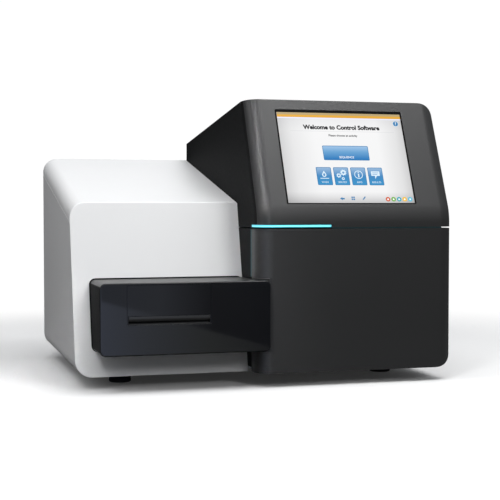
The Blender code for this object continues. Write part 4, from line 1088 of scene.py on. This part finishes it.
def build_objective():
    """Objective lens barrel with knurled collar, front lens and stepped nose."""
    low, high = span("objective_lens")
    centre = ((low.x + high.x) / 2, (low.y + high.y) / 2, 0)
    wide = (high.x - low.x) / 2
    bottom, top = low.z, high.z
    profile = [(0, bottom + 1.4), (3.6, bottom + 1.0), (4.2, bottom), (6.0, bottom),
               (7.0, bottom + 0.8), (9.5, bottom + 7), (wide - 3.0, bottom + 11)]
    for ridge in range(5):
        z = bottom + 13 + 2.4 * ridge
        profile += [(wide - 1.2, z), (wide - 0.3, z + 0.5), (wide - 0.3, z + 1.3),
                    (wide - 1.2, z + 1.8)]
    profile += [(wide - 2.0, bottom + 26), (wide, bottom + 27), (wide, top - 6),
                (wide - 1.0, top - 5), (wide - 1.0, top), (0, top)]
    dress(turned("objective_barrel", profile, centre, steps=64), "objective",
          "machined_aluminium", ["objective_lens"])
    band = [(wide - 0.2, top - 14), (wide + 0.08, top - 14), (wide + 0.08, top - 11),
            (wide - 0.2, top - 11)]
    dress(turned("objective_band", band, centre, steps=64), "objective", "button_orange")
    lens = [(0, bottom + 0.2), (1.6, bottom + 0.3), (2.9, bottom + 0.6), (3.7, bottom + 1.2),
            (3.7, bottom + 1.7), (0, bottom + 1.7)]
    dress(turned("objective_glass", lens, centre), "objective", "clear_glass",
          look="coated_lens")


def build_bay_details():
    """Screws and fins of the optics block, the bay's lamp and the ring on the button."""
    low, high = span("optics_block")
    screws("optics_block_screws", [(x, low.y - 0.05, z) for x in (low.x + 6, high.x - 6)
                                   for z in (low.z + 6, high.z - 6)], "Y", "chassis", 2.6)
    ribs("optics_block_fins", (low.x + 14, low.y - 3.0, low.z + 4),
         (low.x + 16, low.y + 0.2, high.z - 4), (5, 0, 0), 11, "chassis", "black_steel", (0.4,))
    lamp = prism("bay_lamp", rectangle(-262, -58, -225, -50, 3.5), "Z", 206.5, 209.5)
    dress(lamp, "chassis", "white_cover", look="bay_light", edge=(0.5,))
    low, high = span("release_button")
    middle = ((low.x + high.x) / 2, low.y, (low.z + high.z) / 2)
    ring = [(2.0, -0.05), (2.0, 0.25), (2.6, 0.25), (2.6, -0.05)]
    dress(turned("button_ring", ring, middle, "Y", 32), "button", "white_cover")


# ---------------------------------------------------------------- reagent compartment
def build_cartridge():
    """Cartridge with rows of foil-sealed wells and a grip, in place of the plain block."""
    low, high = span("reagent_cartridge")
    columns, rows = 8, 10
    pitch_x, pitch_y = (high.x - low.x - 16) / columns, (high.y - low.y - 34) / rows
    well = [(0, high.z - 7), (4.2, high.z - 6), (5.0, high.z - 3), (5.0, high.z + 2),
            (0, high.z + 2)]
    seal = [(0, high.z - 1.2), (4.7, high.z - 1.2), (4.7, high.z - 0.9), (2.4, high.z - 0.55),
            (0, high.z - 0.5)]

    def at_each_well(name, profile):
        return joined(name, [turned("well", profile, (low.x + 8 + pitch_x * (column + 0.5),
                                                      low.y + 26 + pitch_y * (row + 0.5), 0),
                                    steps=20)
                             for column in range(columns) for row in range(rows)])

    body = combine(block("cartridge_body", low, high), at_each_well("wells", well))
    dress(body, "drawer", "cartridge_plastic", ["reagent_cartridge"], edge=(0.8, 3, 50))
    dress(at_each_well("cartridge_foil", seal), "drawer", "machined_aluminium")
    ribs("cartridge_grip_ribs", (low.x + 20, low.y + 4, high.z - 0.2),
         (low.x + 24, low.y + 20, high.z + 0.8), (8, 0, 0), 12, "drawer", "cartridge_plastic",
         (0.4,))


def build_bottle(node, body, cap_slot, fill):
    """Bottle with a threaded neck, its liquid up to a level, and its ribbed cap."""
    low, high = span(node)
    x, y = (low.x + high.x) / 2, (low.y + high.y) / 2
    radius, foot = (high.x - low.x) / 2, low.z
    outer = [(0, foot + 2.5), (radius - 9, foot + 2.0), (radius - 6, foot),
             (radius - 2.5, foot + 0.4), (radius - 0.6, foot + 1.8), (radius, foot + 4)]
    for band in (foot + 22, foot + 78):
        outer += [(radius, band), (radius - 0.8, band + 0.6), (radius - 0.8, band + 2.0),
                  (radius, band + 2.6)]
    shoulder, neck = foot + 90, foot + 104
    for step in range(7):
        angle = math.pi / 2 * step / 6
        outer.append((14 + (radius - 14) * math.cos(angle), shoulder + 14 * math.sin(angle)))
    for z in (neck + 2.5, neck + 5.5, neck + 8.5):
        outer += [(13.2, z), (14.0, z + 0.7), (14.0, z + 1.2), (13.2, z + 1.9)]
    outer += [(13.2, high.z), (12.0, high.z)]
    inner = [(12.0, neck + 1), (12.6, neck - 1.0), (radius - 2, shoulder - 2),
             (radius - 2, foot + 4), (radius - 6, foot + 3.2), (0, foot + 3.6)]
    dress(turned(node + "_body", outer + inner, (x, y, 0), steps=64), body, "bottle_plastic",
          [node])
    level = foot + fill
    liquid = [(0, foot + 3.9), (radius - 6.2, foot + 3.6), (radius - 2.3, foot + 4.6),
              (radius - 2.3, level - 0.6), (radius - 2.6, level), (0, level - 0.3)]
    dress(turned(node + "_liquid", liquid, (x, y, 0), steps=64), body, "bottle_plastic",
          look="wash_liquid")

    low, high = span(node + "_cap")
    wide = (high.x - low.x) / 2

    def ring(z, reach, groove=0.0):
        """Ring round the cap, drawn in by the grooves between its 36 ribs."""
        depths = [groove, 0.0, 0.0, groove] * 36
        return [(x + (reach - depth) * u, y + (reach - depth) * v, z)
                for depth, (u, v) in zip(depths, circle(0, 0, 1, len(depths)))]

    rows = [ring(high.z - 2.2, 9.2), ring(high.z, 9.2), ring(high.z, wide - 2.2),
            ring(high.z - 0.8, wide - 0.8), ring(high.z - 1.8, wide - 0.1, 0.55),
            ring(low.z + 1.6, wide, 0.55), ring(low.z + 1.2, wide), ring(low.z, wide),
            ring(low.z, 14.4), ring(high.z - 3.4, 14.4), ring(high.z - 3.4, 9.2)]
    dress(loft(node + "_ribbed_cap", rows, closed=True), body, cap_slot, [node + "_cap"])


def build_sipper():
    """Nuts and feed lines on top of the sipper bar, and ribs on its lever."""
    top = span("sipper_bar")[1].z
    lines, nuts = [], []
    for node in ("wash_bottle", "waste_bottle"):
        low, high = span(node)
        x, y = (low.x + high.x) / 2, (low.y + high.y) / 2
        nuts.append(turned("nut", [(3.4, top - 0.1), (5.2, top - 0.1), (5.2, top + 3.5),
                                   (4.6, top + 4.1), (3.4, top + 4.1)], (x, y, 0), steps=6))
        route = [(x, y + along, top + rise) for along, rise in
                 ((0, -2), (0, 5), (1.5, 10), (5, 14), (10, 16.5), (16, 17))]
        lines.append(tube("feed", route, 1.5))
    dress(joined("sipper_nuts", nuts), "sipper", "machined_aluminium", edge=(0.3,))
    dress(joined("sipper_lines", lines), "sipper", "clear_glass", look="hose_clear")
    low, high = span("sipper_lever")
    x = (low.x + high.x) / 2
    ribs("lever_grip", (x - 24, low.y + 1.0, high.z - 0.2), (x - 22, low.y + 9, high.z + 0.6),
         (4, 0, 0), 12, "lever")


def build_tray():
    """Pull handle and rim on the drawer's front, and screws of the chiller and the bay."""
    low, high = span("reagent_tray")
    middle = (low.x + high.x) / 2
    route = rounded([(middle - 36, low.y + 0.6), (middle - 36, low.y - 3.0, 2.4),
                     (middle + 36, low.y - 3.0, 2.4), (middle + 36, low.y + 0.6)], closed=False,
                    steps=8)
    handle = tube("tray_handle", [(x, y, 82) for x, y in route], 1.6)
    dress(handle, "drawer", "machined_aluminium")
    rim = prism("tray_front_rim", rectangle(low.x + 6, 52.5, high.x - 6, high.z - 4, 3), "Y",
                low.y - 0.7, low.y + 0.1,
                [rectangle(low.x + 9, 55.5, high.x - 9, high.z - 7, 2)])
    dress(rim, "drawer", "inner_grey", edge=(0.3,))
    low, high = span("reagent_chiller")
    screws("chiller_screws", [(x, low.y - 0.05, z) for x in (low.x + 3.6, high.x - 3.6)
                              for z in (low.z + 6, high.z - 6)], "Y", "chassis", 2.2)
    floor = span("reagent_bay")[0].z + 3.0
    screws("bay_floor_screws", [(x, y, floor) for x in (162, 308) for y in (-212, -60)], "Z",
           "chassis", 2.6)


def build_door_inside():
    """Ribs inside the door, screws in its hinge leaf, the pin's head and the magnet's housing."""
    inner = DOOR_FRONT + WALL
    rows = [block("rib", (40, inner - 0.1, z - 1.2), (RIGHT - 34, inner + 5.0, z + 1.2))
            for z in (90, 150, 210)]
    rows += [block("rib", (x - 1.2, inner - 0.1, 55), (x + 1.2, inner + 4.4, 250))
             for x in (90, 160, 230, 290)]
    for rib in rows[1:]:
        combine(rows[0], rib, "UNION")
    rows[0].name = "door_ribs"
    dress(rows[0], "door", "dark_cover", edge=(0.4,))
    low, high = span("door_hinge_leaf")
    screws("hinge_screws", [(low.x, (low.y + high.y) / 2 - 6, z)
                            for z in (low.z + 18, (low.z + high.z) / 2, high.z - 18)],
           "X", "door", 2.2, -1)
    low, high = span("hinge_pin")
    top = high.z
    crown = [(0, top + 1.2), (2.0, top + 1.0), (3.4, top + 0.2), (3.4, top - 0.3),
             (0, top - 0.3)]
    dress(turned("hinge_pin_head", crown, ((low.x + high.x) / 2, (low.y + high.y) / 2, 0),
                 steps=32), "chassis", "zinc_steel")
    low, high = span("door_magnet")

    def around(gap, radius):
        return rectangle(low.x - gap, low.z - gap, high.x + gap, high.z + gap, radius)

    housing = prism("magnet_housing", around(1.4, 1.5), "Y", low.y + 1.2, high.y,
                    [around(0.1, 0.3)])
    dress(housing, "chassis", "black_trim", edge=(0.3,))


# ---------------------------------------------------------------- studio
def build_camera():
    data = bpy.data.cameras.new("camera")
    data.lens = 85.0
    data.sensor_width = 36.0
    camera = bpy.data.objects.new("camera", data)
    camera.location = (-0.6192, -2.2457, 0.3261)
    camera.rotation_euler = (math.radians(90 - 2.292), 0, math.radians(-16.155))
    scene.collection.objects.link(camera)
    scene.camera = camera


def area_light(name, place, target, size, energy, spread=180):
    data = bpy.data.lights.new(name, "AREA")
    data.shape = "RECTANGLE"
    data.size, data.size_y = size
    data.energy = energy
    data.spread = math.radians(spread)
    lamp = bpy.data.objects.new(name, data)
    lamp.location = place
    aim = Vector(target) - Vector(place)
    lamp.rotation_euler = aim.to_track_quat("-Z", "Y").to_euler()
    scene.collection.objects.link(lamp)
    return lamp


def build_reflector():
    """Graded card in front of the visor that only its reflection shows."""
    bm = bmesh.new()
    corners = [(-1.0, 0.0), (1.0, 0.0), (1.0, 0.55), (-1.0, 0.55)]
    bm.faces.new([bm.verts.new((x, -0.70, z)) for x, z in corners])
    card = from_bmesh("reflector", bm)
    material, tree = new_material("reflector", None)
    left, right = -0.26, 0.14
    upper = ramp_along(tree, "X", left, right,
                       [(0.0, (0.45, 0.50, 0.62)), (0.35, (0.50, 0.53, 0.62)),
                        (0.62, (0.12, 0.12, 0.13)), (1.0, (0.02, 0.02, 0.02))])
    lower = ramp_along(tree, "X", left, right,
                       [(0.0, (0.90, 1.02, 1.35)), (0.25, (0.70, 0.76, 0.90)),
                        (0.6, (0.45, 0.47, 0.46)), (1.0, (0.16, 0.16, 0.16))])
    axes = split_axes(tree)
    slant = add_node(tree, "ShaderNodeMath", {0: axes["X"], 1: 0.29, 2: axes["Z"]},
                     operation="MULTIPLY_ADD")
    above = add_range(tree, slant.outputs["Value"], 0.0545, 0.0555)
    mix = add_node(tree, "ShaderNodeMixRGB", {"Fac": above, "Color1": lower, "Color2": upper})
    lamp = add_node(tree, "ShaderNodeEmission", {"Color": mix.outputs["Color"], "Strength": 1.0})
    set_inputs(tree.nodes["Material Output"], {"Surface": lamp.outputs["Emission"]})
    card.data.materials.append(material)
    card.visible_camera = False
    card.visible_diffuse = False
    card.visible_shadow = False
    card.visible_transmission = False


def mixed_shader(tree, share, first, second):
    mix = add_node(tree, "ShaderNodeMixShader", {"Fac": share, 1: first, 2: second})
    return mix.outputs["Shader"]


def build_floor():
    """Pale floor, darker for bounced light, that fades into the white background."""
    bm = bmesh.new()
    bmesh.ops.create_grid(bm, x_segments=1, y_segments=1, size=30)
    floor = from_bmesh("floor", bm)
    paper, tree = new_material("floor_paper", None)
    bright = add_node(tree, "ShaderNodeBsdfDiffuse", {"Color": (0.93, 0.93, 0.93, 1)})
    bounce = add_node(tree, "ShaderNodeBsdfDiffuse", {"Color": (0.12, 0.12, 0.12, 1)})
    seen = add_node(tree, "ShaderNodeLightPath").outputs["Is Camera Ray"]
    near = mixed_shader(tree, seen, bounce.outputs["BSDF"], bright.outputs["BSDF"])
    far = add_node(tree, "ShaderNodeEmission", {"Color": (1, 1, 1, 1), "Strength": 1.02})
    coords = add_node(tree, "ShaderNodeTexCoord").outputs["Object"]
    length = add_node(tree, "ShaderNodeVectorMath", {0: coords}, operation="LENGTH")
    fade = add_range(tree, length.outputs["Value"], 0.75, 1.5, 0.022,
                     interpolation_type="SMOOTHSTEP")
    fade = add_node(tree, "ShaderNodeMath", {0: fade, 1: seen}, operation="MULTIPLY")
    faded = mixed_shader(tree, fade.outputs["Value"], near, far.outputs["Emission"])
    set_inputs(tree.nodes["Material Output"], {"Surface": faded})
    floor.data.materials.append(paper)


def build_world():
    """White behind the object, and soft light that grows upward and to the right."""
    world = bpy.data.worlds.new("studio")
    scene.world = world
    world.use_nodes = True
    tree = world.node_tree
    axes = split_axes(tree, "Generated")
    side = add_range(tree, axes["X"], -1.0, 0.6, 0.05, 0.09)
    rise = add_range(tree, axes["Z"], 0.1, 0.9, 1.0, 6.0)
    level = add_node(tree, "ShaderNodeMath", {0: side, 1: rise}, operation="MULTIPLY")
    light = tree.nodes["Background"]
    set_inputs(light, {"Color": (0.95, 0.97, 1.0, 1), "Strength": level.outputs["Value"]})
    white = add_node(tree, "ShaderNodeBackground", {"Color": (1, 1, 1, 1), "Strength": 1.02})
    seen = add_node(tree, "ShaderNodeLightPath").outputs["Is Camera Ray"]
    shown = mixed_shader(tree, seen, light.outputs["Background"], white.outputs["Background"])
    set_inputs(tree.nodes["World Output"], {"Surface": shown})


def build_studio():
    build_floor()
    build_world()
    area_light("overhead", (0.5, -0.80, 2.5), (0.5, -0.80, 0), (2.4, 2.0), 40)
    area_light("screen_key", (0.85, -1.7, 3.0), (0.15, -0.2, 0.4), (1.0, 0.7), 19)
    area_light("front_key", (0.75, -3.1, 1.6), (0, 0, 0.2), (0.9, 0.9), 18)
    area_light("left_key", (-1.30, -1.85, 2.3), (0, -0.2, 0.3), (0.4, 0.7), 16)
    area_light("corner_strip", (-1.36, -1.75, 0.35), (0.02, -0.26, 0.35), (0.06, 1.2), 0.075, 5)
    area_light("corner_top", (-1.10, -1.45, 1.65), (0.02, -0.18, 0.40), (0.06, 0.6), 0.08, 5)
    area_light("strip_key", (-0.9, -2.2, 0.9), (-0.415, -0.19, 0.10), (0.10, 0.10), 0.038, 6)
    area_light("side_fill", (-1.5, -0.42, 1.15), (-0.3, -0.2, 0.6), (0.3, 1.6), 6)
    build_reflector()
    scene.view_settings.view_transform = "Standard"


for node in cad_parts.values():
    slot_name = node.data.materials[0].name.split(".")[0] if node.data.materials else "black_trim"
    if slot_name in LOOK:
        node.material_slots[0].material = LOOK[slot_name]
    elif slot_name == "screen_glass":
        node.material_slots[0].material = LOOK["black_trim"]
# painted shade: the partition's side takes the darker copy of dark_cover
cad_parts["partition_wall"].material_slots[0].material = LOOK["matt_painted_shade"]

EDGES = {"reagent_chiller": 1.6, "reagent_tray": 0.8, "reagent_bay": 0.6, "flow_cell_bay": 0.6,
         "flow_cell_carrier": 0.4, "flow_cell_latch": 0.5, "thermal_station": 0.5,
         "stage_x_carriage": 0.5, "stage_y_carriage": 0.5, "stage_base": 0.5,
         "optics_block": 1.2, "sipper_bar": 0.8, "sipper_lever": 0.8, "display_module": 0.8,
         "power_inlet": 0.5, "power_switch": 0.3, "network_socket": 0.3, "usb_socket": 0.3,
         "base_pan": 0.6, "landing_post": 0.6, "visor_arm_left": 0.8, "visor_arm_right": 0.8,
         "door_catch_plate": 0.3, "release_button": 0.4}
for name, width in EDGES.items():
    add_bevel(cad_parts[name], width, 2, 50)
    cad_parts[name].modifiers.new("flats", "WEIGHTED_NORMAL").keep_sharp = True

build_camera()
build_studio()
build_white_covers()
build_visor()
build_dark_shell()
build_door()
build_screen()
build_seams()
build_feet()
build_rear()
build_flow_cell()
build_stage_details()
build_objective()
build_bay_details()
build_cartridge()
build_bottle("wash_bottle", "wash", "cap_blue", 78)
build_bottle("waste_bottle", "waste", "button_orange", 18)
build_sipper()
build_tray()
build_door_inside()
